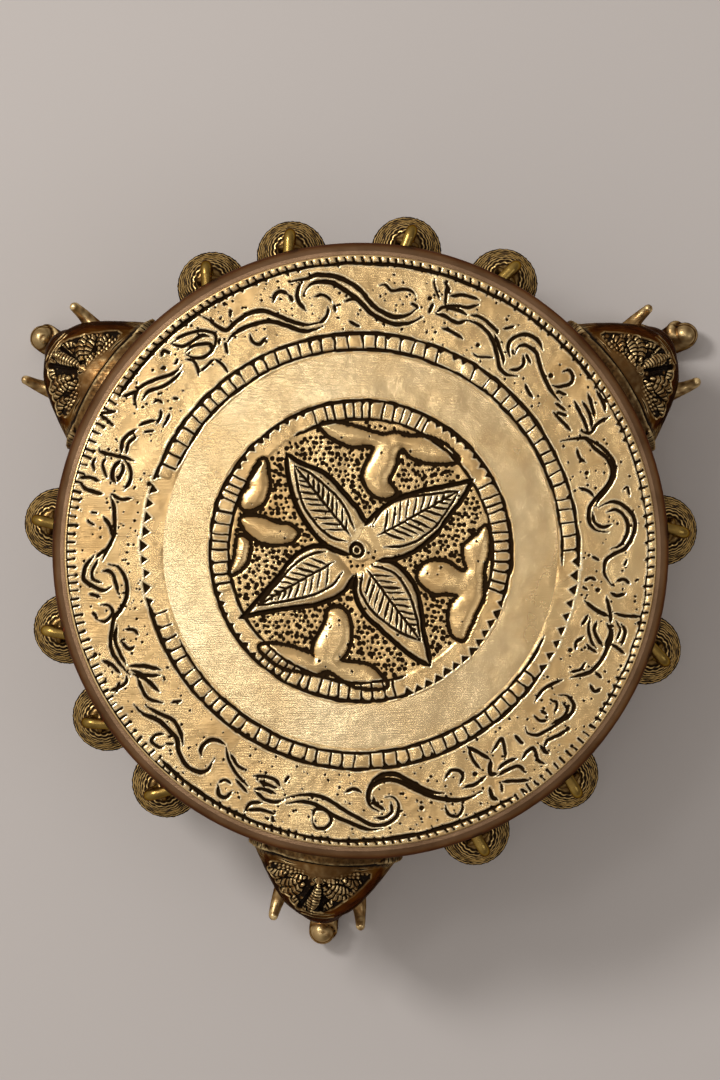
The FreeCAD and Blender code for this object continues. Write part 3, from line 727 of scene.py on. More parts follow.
def carve_leaf(relief, leaf):
    """A leaf: its outline, the inner leaf, the midrib and the veins."""
    one, two, inner_one, inner_two = (smooth_line(from_px(part)) for part in leaf)
    root = (inner_one[0] + inner_two[-1]) / 2
    tip = (inner_one[-1] + inner_two[0]) / 2
    for edge in (one, two):
        relief.line(edge, LEAF_CUT, CUT_DEPTH * 1.3, 0.06)
    for edge, width in ((inner_one, INNER_LEAF_CUT), (inner_two, INNER_LEAF_CUT), ((root, tip), MIDRIB_CUT)):
        relief.line(edge, width, FINE_DEPTH * 1.4, 0.1)
    length = np.linalg.norm(tip - root)
    along = (tip - root) / length
    side = np.array((-along[1], along[0]))
    for edge in (inner_one, inner_two):
        offset = (edge - root) @ side
        sign = np.sign(offset[len(offset) // 2])
        reach = (edge - root) @ along
        order = np.argsort(reach)
        place = VEIN_START
        while place < length - VEIN_END:
            wide = abs(np.interp(place + VEIN_LEAN * 0.6, reach[order], offset[order]))
            wide *= rng.uniform(0.75, 0.95)
            if wide > SHORTEST_VEIN:
                start = root + along * place
                end = root + along * (place + VEIN_LEAN * min(1, wide / VEIN_REACH)) + side * sign * wide
                relief.line([start, end], VEIN_CUT * rng.uniform(0.8, 1.3), FINE_DEPTH * 1.3, taper=0.3)
            place += rng.uniform(*VEIN_STEPS)


def carve_middle(relief):
    p = relief.points
    away = np.hypot(p[:, 0], p[:, 1])
    shapes = [smooth_line(from_px(outline), closed=True) for outline in SPRIGS_PX]
    leaf_shapes = [np.vstack([smooth_line(from_px(part)) for part in leaf[:2]]) for leaf in LEAVES_PX]
    standing = away < KNOB_FIELD
    dome = np.zeros(len(p))
    for outline in shapes + leaf_shapes:
        where = relief.near(outline)
        where = where[inside(p[where], outline)]
        standing[where] = True
        gap, _ = nearest(p[where], np.vstack((outline, outline[:1])))
        dome[where] = np.maximum(dome[where], LEAF_DOME * (1 - (1 - np.clip(gap / LEAF_SHOULDER, 0, 1)) ** 2))
    relief.wave += dome - LEAF_SINK * (dome > 0)
    relief.cut = np.where(standing | (away > INNER_LADDER[0]), 0.0, FIELD_SINK)
    for outline in shapes:
        edge = relief.near(outline, SPRIG_CUT)
        gap, _ = nearest(p[edge], outline)
        rim = edge[(gap < SPRIG_CUT) & ~standing[edge]]
        relief.cut[rim] = CUT_DEPTH * 1.3
        relief.dirt[rim] = 1.0
    stipple(relief, standing)
    for leaf in LEAVES_PX:
        carve_leaf(relief, leaf)
    knob, = from_px(KNOB_PX)
    relief.line([knob + unit(a) * KNOB_RADIUS for a in range(0, 361, 20)], KNOB_CUT, CUT_DEPTH * 1.3)
    relief.dot(knob, KNOB_DOT, FINE_DEPTH)
    for _ in range(MIDDLE_PITS):
        spot = unit(rng.uniform(0, 360)) * rng.uniform(*MIDDLE_PIT_REACH)
        relief.dot(spot, rng.uniform(*MIDDLE_PIT_RADII), FINE_DEPTH * 0.6)
    carve_ladder(relief, INNER_LADDER, INNER_STEP, ((-72, 54),), ((-72, 54), (118, 22)),
                 ((28, 34), (112, 34), (196, 30)))


# Meshes

def mesh_object(name, verts, faces, smooth=True):
    """A mesh object whose points are given in millimetres."""
    mesh = bpy.data.meshes.new(name)
    mesh.from_pydata((np.asarray(verts) * MM).tolist(), [], [tuple(map(int, f)) for f in faces])
    mesh.update()
    mesh.polygons.foreach_set("use_smooth", np.full(len(mesh.polygons), smooth))
    piece = bpy.data.objects.new(name, mesh)
    bpy.context.scene.collection.objects.link(piece)
    return piece


def mark(mesh, name, values):
    """Stores one number for each point of a mesh, for its material."""
    layer = mesh.attributes.new(name, "FLOAT", "POINT")
    layer.data.foreach_set("value", np.asarray(values, np.float32))


def grid_faces(rows, columns, closed=False):
    """Quads over a grid of points, row by row, closed round its columns or not."""
    r = np.arange(rows - 1)[:, None]
    c = np.arange(columns if closed else columns - 1)[None, :]
    after = (c + 1) % columns
    low, high = r * columns, (r + 1) * columns
    return np.stack((low + c, high + c, high + after, low + after), axis=-1).reshape(-1, 4)


def disc_points(radius, steps):
    """A square grid drawn out to a disc, which has no crowded centre."""
    s = np.linspace(-1, 1, steps + 1)
    x, y = np.meshgrid(s, s)
    wide = np.abs(x) > np.abs(y)
    big = np.where(wide, x, y)
    small = np.where(wide, y, x)
    turn = math.pi / 4 * small / np.where(big == 0, 1, big)
    a, b = big * np.cos(turn), big * np.sin(turn)
    return radius * np.stack((np.where(wide, a, b), np.where(wide, b, a)), axis=-1).reshape(-1, 2)


def ring_points(low, high, step, start, sweep, turns):
    radii = np.linspace(low, high, max(2, int(round((high - low) / step)) + 1))
    angles = np.radians(start + sweep * np.arange(turns + 1) / turns)
    r, a = np.meshgrid(radii, angles, indexing="ij")
    return np.stack((r * np.cos(a), r * np.sin(a)), axis=-1).reshape(-1, 2), len(radii), turns + 1


def relief_piece(name, relief, faces):
    piece = mesh_object(name, np.column_stack((relief.flat, relief.height())), faces)
    mark(piece.data, "dirt", relief.dirt)
    # Wear mark: the raised lips beside the cuts are coloured brighter, partly as worn metal and partly as a
    # painted highlight.
    mark(piece.data, "wear_and_sheen", relief.lips())
    return piece


def weather(relief, count, span, roughly=1.0):
    """Small pits and a faint unevenness, as on cast metal polished by hand."""
    relief.wave += roughly * uneven(relief.flat, DISC_LAYERS)
    for _ in range(count):
        spot = unit(rng.uniform(0, 360)) * math.sqrt(rng.uniform(span[0] ** 2, span[1] ** 2))
        relief.dot(spot, rng.uniform(*PIT_RADII), rng.uniform(*PIT_DEPTHS))


def fade(relief, low=None, high=None):
    """Brings the heights to nothing at a piece's round edges, where the next piece begins."""
    away = np.hypot(relief.flat[:, 0], relief.flat[:, 1])
    share = np.ones(len(away))
    if low is not None:
        share *= ease((away - low) / FADE_WIDTH)
    if high is not None:
        share *= ease((high - away) / FADE_WIDTH)
    relief.wave, relief.cut, relief.lip = relief.wave * share, relief.cut * share, relief.lip * share


def make_middle():
    points = disc_points(MIDDLE_RADIUS, MIDDLE_STEPS)
    relief = Relief(points)
    carve_middle(relief)
    weather(relief, 90, (0, 38))
    fade(relief, high=MIDDLE_RADIUS)
    return relief_piece("carved_middle", relief, grid_faces(MIDDLE_STEPS + 1, MIDDLE_STEPS + 1)[:, ::-1])


def make_plain_band():
    points, rows, columns = ring_points(MIDDLE_RADIUS, BAND_START, PLAIN_STEP, 0, 360, TURNS)
    relief = Relief(points)
    weather(relief, 0, (0, 1), 0.45)
    fade(relief, MIDDLE_RADIUS, BAND_START)
    return relief_piece("plain_band", relief, grid_faces(rows, columns))


def make_border():
    """The carved band and the beaded edge, in two halves cut from one pattern."""
    global rng
    made = []
    top = DISC_RADIUS - DISC_EDGE_ROUND
    for name, start in (("carved_band_north", 0), ("carved_band_south", 180)):
        points, rows, columns = ring_points(BAND_START, top, BAND_STEP, start, 180, TURNS // 2)
        relief = Relief(points)
        rng = np.random.default_rng(SEED + 1)
        carve_vine(relief)
        carve_ladder(relief, OUTER_LADDER, OUTER_STEP, ((159, 37), (-35, 33)), ((154, 54), (-27, 25)),
                     ((60, 8),))
        carve_edge(relief)
        weather(relief, 640, (OUTER_LADDER[1] + 1, EDGE_GROOVE - 1))
        fade(relief, low=BAND_START)
        made.append(relief_piece(name, relief, grid_faces(rows, columns)))
    return made


def revolve(profile, turns):
    angles = 2 * math.pi * np.arange(turns) / turns
    p = np.asarray(profile, float)
    verts = np.stack((np.outer(p[:, 0], np.cos(angles)), np.outer(p[:, 0], np.sin(angles)),
                      np.repeat(p[:, 1][:, None], turns, axis=1)), axis=-1).reshape(-1, 3)
    return verts, grid_faces(len(p), turns, closed=True)


def make_disc_body():
    """The disc's rounded edge, wall and underside, below the carving."""
    top = DISC_RADIUS - DISC_EDGE_ROUND
    profile = [(top, 0.0)]
    for degrees in (22, 45, 67, 90):
        angle = math.radians(degrees)
        profile.append((top + DISC_EDGE_ROUND * math.sin(angle), DISC_EDGE_ROUND * (math.cos(angle) - 1)))
    profile += [(DISC_RADIUS, -DISC_THICKNESS), (top, -DISC_THICKNESS), (DISC_RADIUS / 2, -DISC_THICKNESS),
                (DISC_EDGE_ROUND, -DISC_THICKNESS)]
    turns = 360
    verts, faces = revolve(profile, turns)
    centre = len(verts)
    verts = np.vstack((verts, ((0, 0, -DISC_THICKNESS),)))
    last = (len(profile) - 1) * turns
    faces = [list(f) for f in faces] + [[last + k, centre, last + (k + 1) % turns] for k in range(turns)]
    return mesh_object("disc_body", verts, faces, smooth=False)


def cast_copy(node, name, voxel):
    """A copy of a node's mesh as one even skin of small faces, its corners softened as a casting's are."""
    source = frame["nodes"][node]
    mesh = source.data.copy()
    work = bmesh.new()
    work.from_mesh(mesh)
    bmesh.ops.remove_doubles(work, verts=work.verts, dist=0.004 * MM)
    work.to_mesh(mesh)
    work.free()
    piece = bpy.data.objects.new(name, mesh)
    bpy.context.scene.collection.objects.link(piece)
    skin = piece.modifiers.new("skin", "REMESH")
    skin.mode = "VOXEL"
    skin.voxel_size = voxel * MM
    soften = piece.modifiers.new("soften", "SMOOTH")
    soften.factor = 0.5
    soften.iterations = 4
    bpy.context.view_layer.update()
    done = bpy.data.meshes.new_from_object(piece.evaluated_get(bpy.context.evaluated_depsgraph_get()))
    piece.modifiers.clear()
    piece.data = done
    done.name = name
    done.materials.clear()
    done.polygons.foreach_set("use_smooth", np.ones(len(done.polygons), bool))
    return piece


def read_points(mesh):
    """Points and normals of a mesh, the points in millimetres."""
    verts = np.empty(len(mesh.vertices) * 3)
    mesh.vertices.foreach_get("co", verts)
    normals = np.empty(len(mesh.vertices) * 3)
    mesh.vertices.foreach_get("normal", normals)
    return verts.reshape(-1, 3) / MM, normals.reshape(-1, 3)


def write_points(mesh, verts):
    mesh.vertices.foreach_set("co", (verts * MM).ravel())
    mesh.update()


def hollows(mesh, rounds):
    """How far each point lies below its smoothed surroundings, in millimetres: positive in hollows."""
    verts, normals = read_points(mesh)
    edges = np.empty(len(mesh.edges) * 2, np.int64)
    mesh.edges.foreach_get("vertices", edges)
    a, b = edges.reshape(-1, 2).T
    count = len(verts)
    degree = np.bincount(a, minlength=count) + np.bincount(b, minlength=count)
    smooth = verts.copy()
    for _ in range(rounds):
        total = np.stack([np.bincount(a, smooth[b, k], count) + np.bincount(b, smooth[a, k], count)
                          for k in range(3)], axis=1)
        smooth = 0.5 * smooth + 0.5 * total / degree[:, None]
    return ((smooth - verts) * normals).sum(1)


# Heads

def boss(relief, line, half_width, height, bars=0.0, bar_width=0.4):
    """A swelling along a line, narrow at its ends, with cuts across it every so often and a dark outline."""
    where = relief.near(line, half_width + BOSS_MARGIN)
    gap, share = nearest(relief.points[where], line)
    half = half_width * np.sqrt(np.clip(4 * share * (1 - share), 0.16, 1))
    inner = np.clip(1 - gap / half, 0, 1)
    outside = where[(gap > half) & (gap < half + BOSS_OUTLINE) & (relief.wave[where] < 0.1)]
    relief.cut[outside] = np.maximum(relief.cut[outside], CAP_SINK + 0.25)
    relief.dirt[outside] = 1.0
    standing = where[inner > 0]
    relief.cut[standing] = 0.0
    relief.dirt[standing] = 0.0
    relief.wave[standing] = np.maximum(relief.wave[standing], height * np.sqrt(inner[inner > 0]) - CAP_SINK)
    if bars:
        length = np.linalg.norm(np.diff(line, axis=0), axis=1).sum()
        place = (share * length / bars) % 1.0
        nick = ease(1 - np.abs(place - 0.5) * 2 * bars / (2 * bar_width)) * (inner > 0)
        relief.cut[where] = np.maximum(relief.cut[where], BAR_DEPTH * nick)
        relief.dirt[where] = np.maximum(relief.dirt[where], nick)


def hollow(relief, line, widths, depth):
    """A deep cut that widens along its line."""
    where = relief.near(line, max(widths))
    gap, share = nearest(relief.points[where], line)
    relief.sink(where, depth, 1 - gap / ((widths[0] + (widths[1] - widths[0]) * share) / 2))


def beads(relief, line, spacing, radius, height):
    """A row of small round bosses along a line."""
    lengths = np.concatenate(((0.0,), np.cumsum(np.linalg.norm(np.diff(line, axis=0), axis=1))))
    for place in np.arange(spacing / 2, lengths[-1], spacing):
        centre = np.array([np.interp(place, lengths, line[:, k]) for k in range(2)])
        centre = centre + rng.uniform(-0.12, 0.12, 2)
        size = radius * rng.uniform(0.8, 1.2)
        where = relief.near(centre, size)
        share = 1 - np.linalg.norm(relief.points[where] - centre, axis=1) / size
        up = where[share > 0]
        relief.wave[up] = np.maximum(relief.wave[up], height * np.sqrt(share[share > 0]) - CAP_SINK)
        relief.dirt[up] *= 0.25


# The cap's ornament for one side: mm outward from the table's centre, mm to the side. Each leaf has its root,
# middle and tip, and half its width.
CAP_FIELD = ((98.6, 0.0), (98.3, 6.0), (97.9, 12.0), (98.5, 15.8), (100.4, 15.8), (103.0, 13.9),
             (106.4, 11.2), (109.2, 8.0), (112.0, 5.2), (113.4, 2.6), (113.7, 0.0))
CAP_LEAVES = (
    (((104.2, 3.6), (106.6, 6.2), (107.4, 9.4)), 1.75),
    (((102.9, 4.6), (104.6, 7.6), (104.9, 11.0)), 1.45),
    (((108.6, 5.9), (109.9, 5.6), (111.6, 4.2)), 0.9),
    (((101.2, 9.2), (102.4, 11.4), (101.6, 14.0)), 1.25),
    (((101.6, 3.0), (101.9, 4.6), (101.7, 6.8)), 0.85),
)
CAP_BEAD_ROWS = (
    ((99.2, 2.6), (99.3, 8.0), (98.9, 15.2)),
    ((100.3, 4.0), (100.6, 8.5), (100.2, 13.0)),
    ((103.4, 12.8), (106.0, 10.9), (108.4, 8.3)),
)
CAP_RIDGE = (103.7, 113.0)
CAP_KNOB = ((101.2, 0.0), (102.0, 0.0), (103.0, 0.0))
CAP_BACK_LINE = ((97.4, 4.5), (97.3, 10.0), (96.6, 15.5))
CAP_FRONT_LINES = (114.1, 115.3)
CAP_LINE = 0.5
CAP_LINE_DEPTH = 0.3
CAP_SLOPE = 0.7
CAP_SOIL_SLOPE = 0.5
CAP_LEAF_RISE = 0.75
CAP_LEAF_BARS = (1.15, 1.45)
CAP_BEAD_STEP = 1.3
CAP_BEAD_RADIUS = 0.72
CAP_BEAD_RISE = 0.6
CAP_RIDGE_HALF = 1.9
CAP_RIDGE_BARS = (1.02, 0.42)
CAP_HOLLOW_WIDTHS = (0.9, 2.5)
CAP_HOLLOW_DEPTH = 1.5
CAP_KNOB_HALF = 1.3
LOOSE_BEAD_RADIUS = 0.5
LOOSE_BEADS = 150
LOOSE_BEAD_REACH = (98.8, 112.5)


def mirrored(points, side):
    """A smooth line through points given for one side of the cap, or its mirror image."""
    return smooth_line([(out, across * side) for out, across in points])


def carve_cap(relief, shift):
    """A sunk field on the cap, with the barred ridge, hollows beside it, leaves and rows of beads."""
    slide = np.array((0.0, shift))
    outline = np.array(CAP_FIELD + tuple((u, -s) for u, s in CAP_FIELD[-2:0:-1])) + slide * 0.35
    p = relief.points
    where = relief.near(outline)
    where = where[inside(p[where], smooth_line(outline, closed=True))]
    gap, _ = nearest(p[where], np.vstack((outline, outline[:1])))
    relief.cut[where] = CAP_SINK * ease(gap / CAP_SLOPE)
    relief.dirt[where] = 0.72 * ease(gap / CAP_SOIL_SLOPE)
    for side in (1, -1):
        for points, half_width in CAP_LEAVES:
            leaf = mirrored(points, side) + slide
            boss(relief, leaf, half_width, CAP_SINK + CAP_LEAF_RISE, rng.uniform(*CAP_LEAF_BARS), 0.5)
        for points in CAP_BEAD_ROWS:
            line = mirrored(points, side) + slide * 0.6
            beads(relief, line, CAP_BEAD_STEP, CAP_BEAD_RADIUS, CAP_SINK + CAP_BEAD_RISE)
    for _ in range(LOOSE_BEADS):
        spot = np.array((rng.uniform(*LOOSE_BEAD_REACH), rng.uniform(-15, 15)))
        near = relief.near(spot, 0.45)
        if len(near) and relief.wave[near].max() <= 0 and relief.cut[near].min() > 0.6 * CAP_SINK:
            beads(relief, np.array((spot, spot + 0.2)), 0.28, LOOSE_BEAD_RADIUS, CAP_SINK + 0.15)
    root, tip = np.array((CAP_RIDGE[0], 0.35 * shift)), np.array((CAP_RIDGE[1], 1.15 * shift))
    boss(relief, np.array((root, (root + tip) / 2, tip)), CAP_RIDGE_HALF, CAP_SINK + 0.7, *CAP_RIDGE_BARS)
    for side in (1, -1):
        line = np.array((root + (0.8, 1.5 * side), tip + (-0.6, 3.4 * side)))
        hollow(relief, line, CAP_HOLLOW_WIDTHS, CAP_HOLLOW_DEPTH)
    boss(relief, np.array(CAP_KNOB) + slide * 0.4, CAP_KNOB_HALF, CAP_SINK + CAP_BEAD_RISE)
    lines = [mirrored(CAP_BACK_LINE, side) for side in (1, -1)]
    lines += [[(out - 0.028 * s * s, s) for s in np.linspace(-5, 5, 11)] for out in CAP_FRONT_LINES]
    for line in lines:
        relief.line(line, CAP_LINE, CAP_LINE_DEPTH, taper=0.3)


def trunk_creases(verts, normals):
    """Shallow creases across the trunk's front, closer towards its tip."""
    depth = -verts[:, 2]
    place = depth + 0.25 * (verts[:, 0] - TRUNK_OUT)
    crease = np.clip(np.cos(place * 2 * math.pi / CREASE_PITCH) - 0.45, 0, 1) / 0.55
    share = ease((depth - CREASE_DEPTHS[0]) / 5) * ease((CREASE_DEPTHS[1] - depth) / 6)
    return crease * (share * ease((normals[:, 0] + 0.35) / 0.5))


def ear_veins(verts):
    """Fine fanned lines over the ears."""
    x, y, depth = verts[:, 0], np.abs(verts[:, 1]), -verts[:, 2]
    down, across = depth - EAR_ROOT[1], y - EAR_ROOT[0]
    angle, away = np.arctan2(down, across), np.hypot(down, across)
    share = ease((y - EAR_START) / 2) * ease((EAR_FRONT - x) / 2) * ease((away - 3) / 3)
    return np.clip(np.cos(angle * 34) - 0.55, 0, 1) / 0.45 * share


def eye_lids(verts):
    """A rim round each eye, and the groove round the rim."""
    gap = np.linalg.norm(np.column_stack((verts[:, 0], np.abs(verts[:, 1]), verts[:, 2])) - EYE_PLACE, axis=1)
    return [np.exp(-((gap - radius) / width) ** 2) for radius, width in EYE_RINGS]


def refine(mesh, picked):
    """Halves the faces of a mesh around the picked points."""
    work = bmesh.new()
    work.from_mesh(mesh)
    work.verts.ensure_lookup_table()
    edges = [e for e in work.edges if picked[e.verts[0].index] and picked[e.verts[1].index]]
    bmesh.ops.subdivide_edges(work, edges=edges, cuts=1, use_grid_fill=True)
    work.to_mesh(mesh)
    work.free()
    mesh.polygons.foreach_set("use_smooth", np.ones(len(mesh.polygons), bool))
    mesh.update()


def make_head(node, azimuth):
    global rng
    rng = np.random.default_rng(SEED + 2)
    piece = cast_copy(node, node.replace("leg", "head"), HEAD_VOXEL)
    mesh = piece.data
    turn = math.radians(-azimuth)
    spin = np.array(((math.cos(turn), -math.sin(turn), 0), (math.sin(turn), math.cos(turn), 0), (0, 0, 1)))
    verts, normals = read_points(mesh)
    out, depth = (verts @ spin.T)[:, 0], -verts[:, 2]
    on_top = (depth > CAP_TOP_DEPTH) & (depth < CAP_EDGE_DEPTH) & (normals[:, 2] > 0.1)
    refine(mesh, on_top & (out > CAP_START))
    verts, normals = read_points(mesh)
    local, facing = verts @ spin.T, normals @ spin.T
    relief = Relief(local[:, :2], waver=CAP_WAVER)
    carve_cap(relief, CAP_SHIFTS[node])
    depth = -local[:, 2]
    on_cap = ease((facing[:, 2] - 0.05) / 0.25) * ease((CAP_EDGE_DEPTH - depth) / 2)
    on_cap = on_cap * ease((depth - CAP_TOP_DEPTH) / 2) * ease((local[:, 0] - CAP_START) / 0.6)
    lid, socket = eye_lids(local)
    cast = 0.10 * noise(local[:, :2] + local[:, 2:], 3.7, 31) + 0.05 * noise(local[:, 1:], 1.7, 32)
    rise = relief.height() * on_cap - CREASE_SINK * trunk_creases(local, facing)
    rise = rise - VEIN_SINK * ear_veins(local) + LID_RISE * lid - SOCKET_SINK * socket + cast
    write_points(mesh, verts + normals * rise[:, None])
    deep, fine = hollows(mesh, 24), hollows(mesh, 5)
    dirt = np.clip(deep / 0.5, 0, 1) + 0.8 * np.clip(fine / 0.12, 0, 1) + relief.dirt * on_cap
    # Painted shade: the collar's upward-facing faces are darkened so they don't show the bright reflection of
    # the sky above. The rest of this mark is patina in the hollows and cuts.
    dirt += 0.46 * ease((COLLAR_END - local[:, 0]) / 0.6) * ease((facing[:, 2] - 0.1) / 0.3)
    mark(mesh, "dirt", np.clip(dirt * 0.85, 0, 1))
    # Wear mark: convex edges are coloured brighter, broken up by noise, partly as worn metal and partly as a
    # painted highlight.
    rub_and_sheen = 0.65 + 0.6 * noise(local[:, :2] + local[:, 2:], 1.6, 33)
    mark(mesh, "wear_and_sheen", np.clip(-fine / 0.05, 0, 1) * np.clip(rub_and_sheen, 0, 1))
    return piece


# Bells

def bell_place(verts):
    """For each point of a bell: its turn round the bell, distance from the axis and way down the wall."""
    angle = np.arctan2(verts[:, 1], verts[:, 0])
    away = np.hypot(verts[:, 0], verts[:, 1])
    depth = -verts[:, 2]
    levels = np.arange(BELL_CROWN_DEPTH, depth.max() + BELL_LEVEL, BELL_LEVEL)
    outline = np.array([away[(depth > low - 0.4) & (depth < low + 0.4)].max() for low in levels])
    steps = np.abs(np.diff(outline)) + BELL_WALL_SHARE * np.diff(levels)
    along = np.interp(depth, levels, np.concatenate(((0.0,), np.cumsum(steps))))
    return angle, away, along


def make_bells():
    """Each bell's mesh is worked once, about its own hook's bar, and placed at every joint."""
    first = None
    made = []
    for joint in frame["record"]["behaviour"]["joints"]:
        if not joint["name"].startswith("bell_swing_"):
            continue
        node = joint["child"]
        turn = math.atan2(joint["axis"][1], joint["axis"][0])
        place = Matrix.Translation(Vector(joint["pos_m"])) @ Matrix.Rotation(turn, 4, "Z")
        if first is None:
            piece = cast_copy(node, "cast_" + node, BELL_VOXEL)
            piece.data.transform(place.inverted())
            dress_bell(piece.data)
            first = piece.data.copy()
        else:
            piece = bpy.data.objects.new("cast_" + node, first.copy())
            bpy.context.scene.collection.objects.link(piece)
        piece.data.transform(place)
        piece.data.update()
        made.append((piece, node))
    return made


def dress_bell(mesh):
    """Raises scalloped lines round a bell that hangs at the origin, and strokes between some of them."""
    verts, normals = read_points(mesh)
    angle, away, along = bell_place(verts)
    outward = (normals[:, 0] * verts[:, 0] + normals[:, 1] * verts[:, 1]) / np.maximum(away, 0.1)
    outside = ease((outward + 0.35 * normals[:, 2]) / 0.2)
    outside = outside * ease((-verts[:, 2] - BELL_LOOP_DEPTH) / 0.5) * ease((away - BELL_LOOP_REACH) / 0.6)
    plane = np.column_stack((angle * away, along))
    row = (along + uneven(plane, BELL_LAYERS)) / BELL_ROW
    number = np.floor(row).astype(int)
    scallops = BELL_SCALLOPS + 2 * number
    crown = np.abs(np.sin(0.5 * scallops * angle + 1.3 * number))
    place = row - number - 0.36 - 0.28 * crown
    line = np.exp(-(place / 0.17) ** 2)
    strokes = np.clip(np.cos(3 * scallops * angle) - 0.2, 0, 1) / 0.8 * ease((0.62 - normals[:, 2]) / 0.2)
    strokes = strokes * ease((np.abs(place) - 0.22) / 0.08) * (number % 3 == 1)
    worn = ease(0.8 + 0.5 * noise(plane, 1.3, 43))
    raised = np.maximum(line, 0.4 * strokes) * worn
    rise = (BELL_LINE_RISE * raised - BELL_GROUND_SINK) * outside
    write_points(mesh, verts + normals * rise[:, None])
    fine = hollows(mesh, 5)
    low = (1 - raised) * outside
    mark(mesh, "dirt", np.clip(0.9 * low ** 2 + 0.4 * np.clip(fine / 0.14, 0, 1), 0, 1))
    # Wear mark: the raised lines and the bell's convex edges are coloured brighter, partly as worn metal and
    # partly as a painted highlight.
    rubbed_and_sheen = raised * outside * (0.4 + 0.6 * worn)
    mark(mesh, "wear_and_sheen", np.clip(rubbed_and_sheen + np.clip(-fine / 0.1, 0, 1) * 0.35, 0, 1))


# Materials

def feed(tree, node, inputs):
    """Sets a node's inputs, or links them where another node's output is given."""
    for key, value in inputs.items():
        if isinstance(value, bpy.types.NodeSocket):
            tree.links.new(value, node.inputs[key])
        else:
            node.inputs[key].default_value = value


def add_node(tree, kind, output, inputs, **settings):
    """Adds a node to a tree and gives the output of it that is used."""
    node = tree.nodes.new(kind)
    for key, value in settings.items():
        setattr(node, key, value)
    feed(tree, node, inputs)
    return node.outputs[output]


def texture(tree, place, scale, detail, roughness=0.5):
    inputs = {"Vector": place, "Scale": scale, "Detail": detail, "Roughness": roughness}
    return add_node(tree, "ShaderNodeTexNoise", "Fac", inputs)


def spread(tree, value, ends, **settings):
    return add_node(tree, "ShaderNodeMapRange", "Result", {"Value": value, **ends}, **settings)


def mix(tree, factor, first, second):
    """A mix of two colours, each given as a colour or as another node's output."""
    first, second = (c if isinstance(c, bpy.types.NodeSocket) else (*c, 1) for c in (first, second))
    inputs = {"Factor": factor, "A": first, "B": second}
    return add_node(tree, "ShaderNodeMix", "Result", inputs, data_type="RGBA")


def multiply_add(tree, value, factor, addend):
    inputs = {0: value, 1: factor, 2: addend}
    return add_node(tree, "ShaderNodeMath", "Value", inputs, operation="MULTIPLY_ADD")


def brass(name, light, tone, dark, worn, roughness, grain, mottle, cover=(0.25, 0.6)):
    """Brass that is dark where the dirt mark says and bright where the wear mark says, mottled, with faint
    polishing marks. The dark colour paints patina in cuts and hollows, and painted shade where the mark holds
    it; the bright worn colour paints wear and painted highlights.
    """
    material = bpy.data.materials.new(name)
    material.use_nodes = True
    tree = material.node_tree
    place = add_node(tree, "ShaderNodeTexCoord", "Object", {})
    cloud = texture(tree, place, mottle, 6.0, 0.62)
    tint = mix(tree, spread(tree, cloud, {"From Min": 0.36, "From Max": 0.64}), light, tone)
    wear_and_sheen = add_node(tree, "ShaderNodeAttribute", "Fac", {}, attribute_name="wear_and_sheen")
    dirt = add_node(tree, "ShaderNodeAttribute", "Fac", {}, attribute_name="dirt")
    rag = multiply_add(tree, texture(tree, place, RAG_SCALE, 2.0), 0.45, -0.225)
    edge = add_node(tree, "ShaderNodeMath", "Value", {0: dirt, 1: rag}, operation="ADD")
    soil_and_shade = spread(tree, edge, {"From Min": cover[0], "From Max": cover[1]}, interpolation_type="SMOOTHSTEP")
    rough = spread(tree, cloud, {"To Min": roughness - 0.07, "To Max": roughness + 0.11})
    stretch = {"Vector": place, "Rotation": (0, 0, 0.7), "Scale": (1, 14, 1)}
    marks = texture(tree, add_node(tree, "ShaderNodeMapping", "Vector", stretch), MARKS_SCALE, 5.0)
    both = multiply_add(tree, texture(tree, place, GRIT_SCALE, 4.0), 0.6, marks)
    bump = {"Height": both, "Strength": grain, "Distance": BUMP_M}
    # Base colour: the dark colour paints patina, and painted shade where the dirt mark carries it; the worn
    # colour paints wear and a painted highlight.
    feed(tree, tree.nodes["Principled BSDF"], {
        "Specular IOR Level": 0.2,
        "Specular Tint": (*tone, 1),
        "Base Color": mix(tree, soil_and_shade, mix(tree, wear_and_sheen, tint, worn), dark),
        "Metallic": spread(tree, soil_and_shade, {"To Min": 0.98, "To Max": 0.3}),
        "Roughness": multiply_add(tree, soil_and_shade, 0.35, rough),
        "Normal": add_node(tree, "ShaderNodeBump", "Normal", bump),
    })
    return material


def dress(piece, material):
    piece.data.materials.clear()
    piece.data.materials.append(material)


def declare(piece, body, slot, material, *nodes):
    dress(piece, material)
    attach(piece, body)
    if nodes:
        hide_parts(*nodes)


carved_brass = brass("carved_brass", (0.84, 0.62, 0.32), (0.61, 0.39, 0.165), (0.014, 0.007, 0.003),
                     (0.98, 0.86, 0.60), 0.25, 0.22, 30)
# A paler, less yellow copy of the carved brass for the smooth plain band: it is smoother, and its paler tone
# partly paints the band's bright highlight.
plain_brass_and_sheen = brass("plain_brass_and_sheen", (0.86, 0.68, 0.41), (0.70, 0.50, 0.25), (0.014, 0.007, 0.003),
                    (0.97, 0.84, 0.56), 0.23, 0.16, 24)
rim_brass = brass("rim_brass", (0.34, 0.212, 0.125), (0.20, 0.120, 0.068), (0.02, 0.012, 0.007),
                  (0.55, 0.36, 0.16), 0.32, 0.14, 50)
leg_brass = brass("leg_brass", (0.21, 0.107, 0.034), (0.105, 0.049, 0.016), (0.008, 0.004, 0.002),
                  (0.97, 0.74, 0.38), 0.29, 0.16, 80)
hook_brass = brass("hook_brass", (0.40, 0.265, 0.072), (0.20, 0.125, 0.035), (0.02, 0.012, 0.006),
                   (0.85, 0.64, 0.28), 0.26, 0.12, 130)
bell_brass = brass("bell_brass", (0.125, 0.066, 0.019), (0.065, 0.032, 0.010), (0.015, 0.007, 0.003),
                   (0.95, 0.66, 0.27), 0.28, 0.14, 120, (0.1, 0.8))

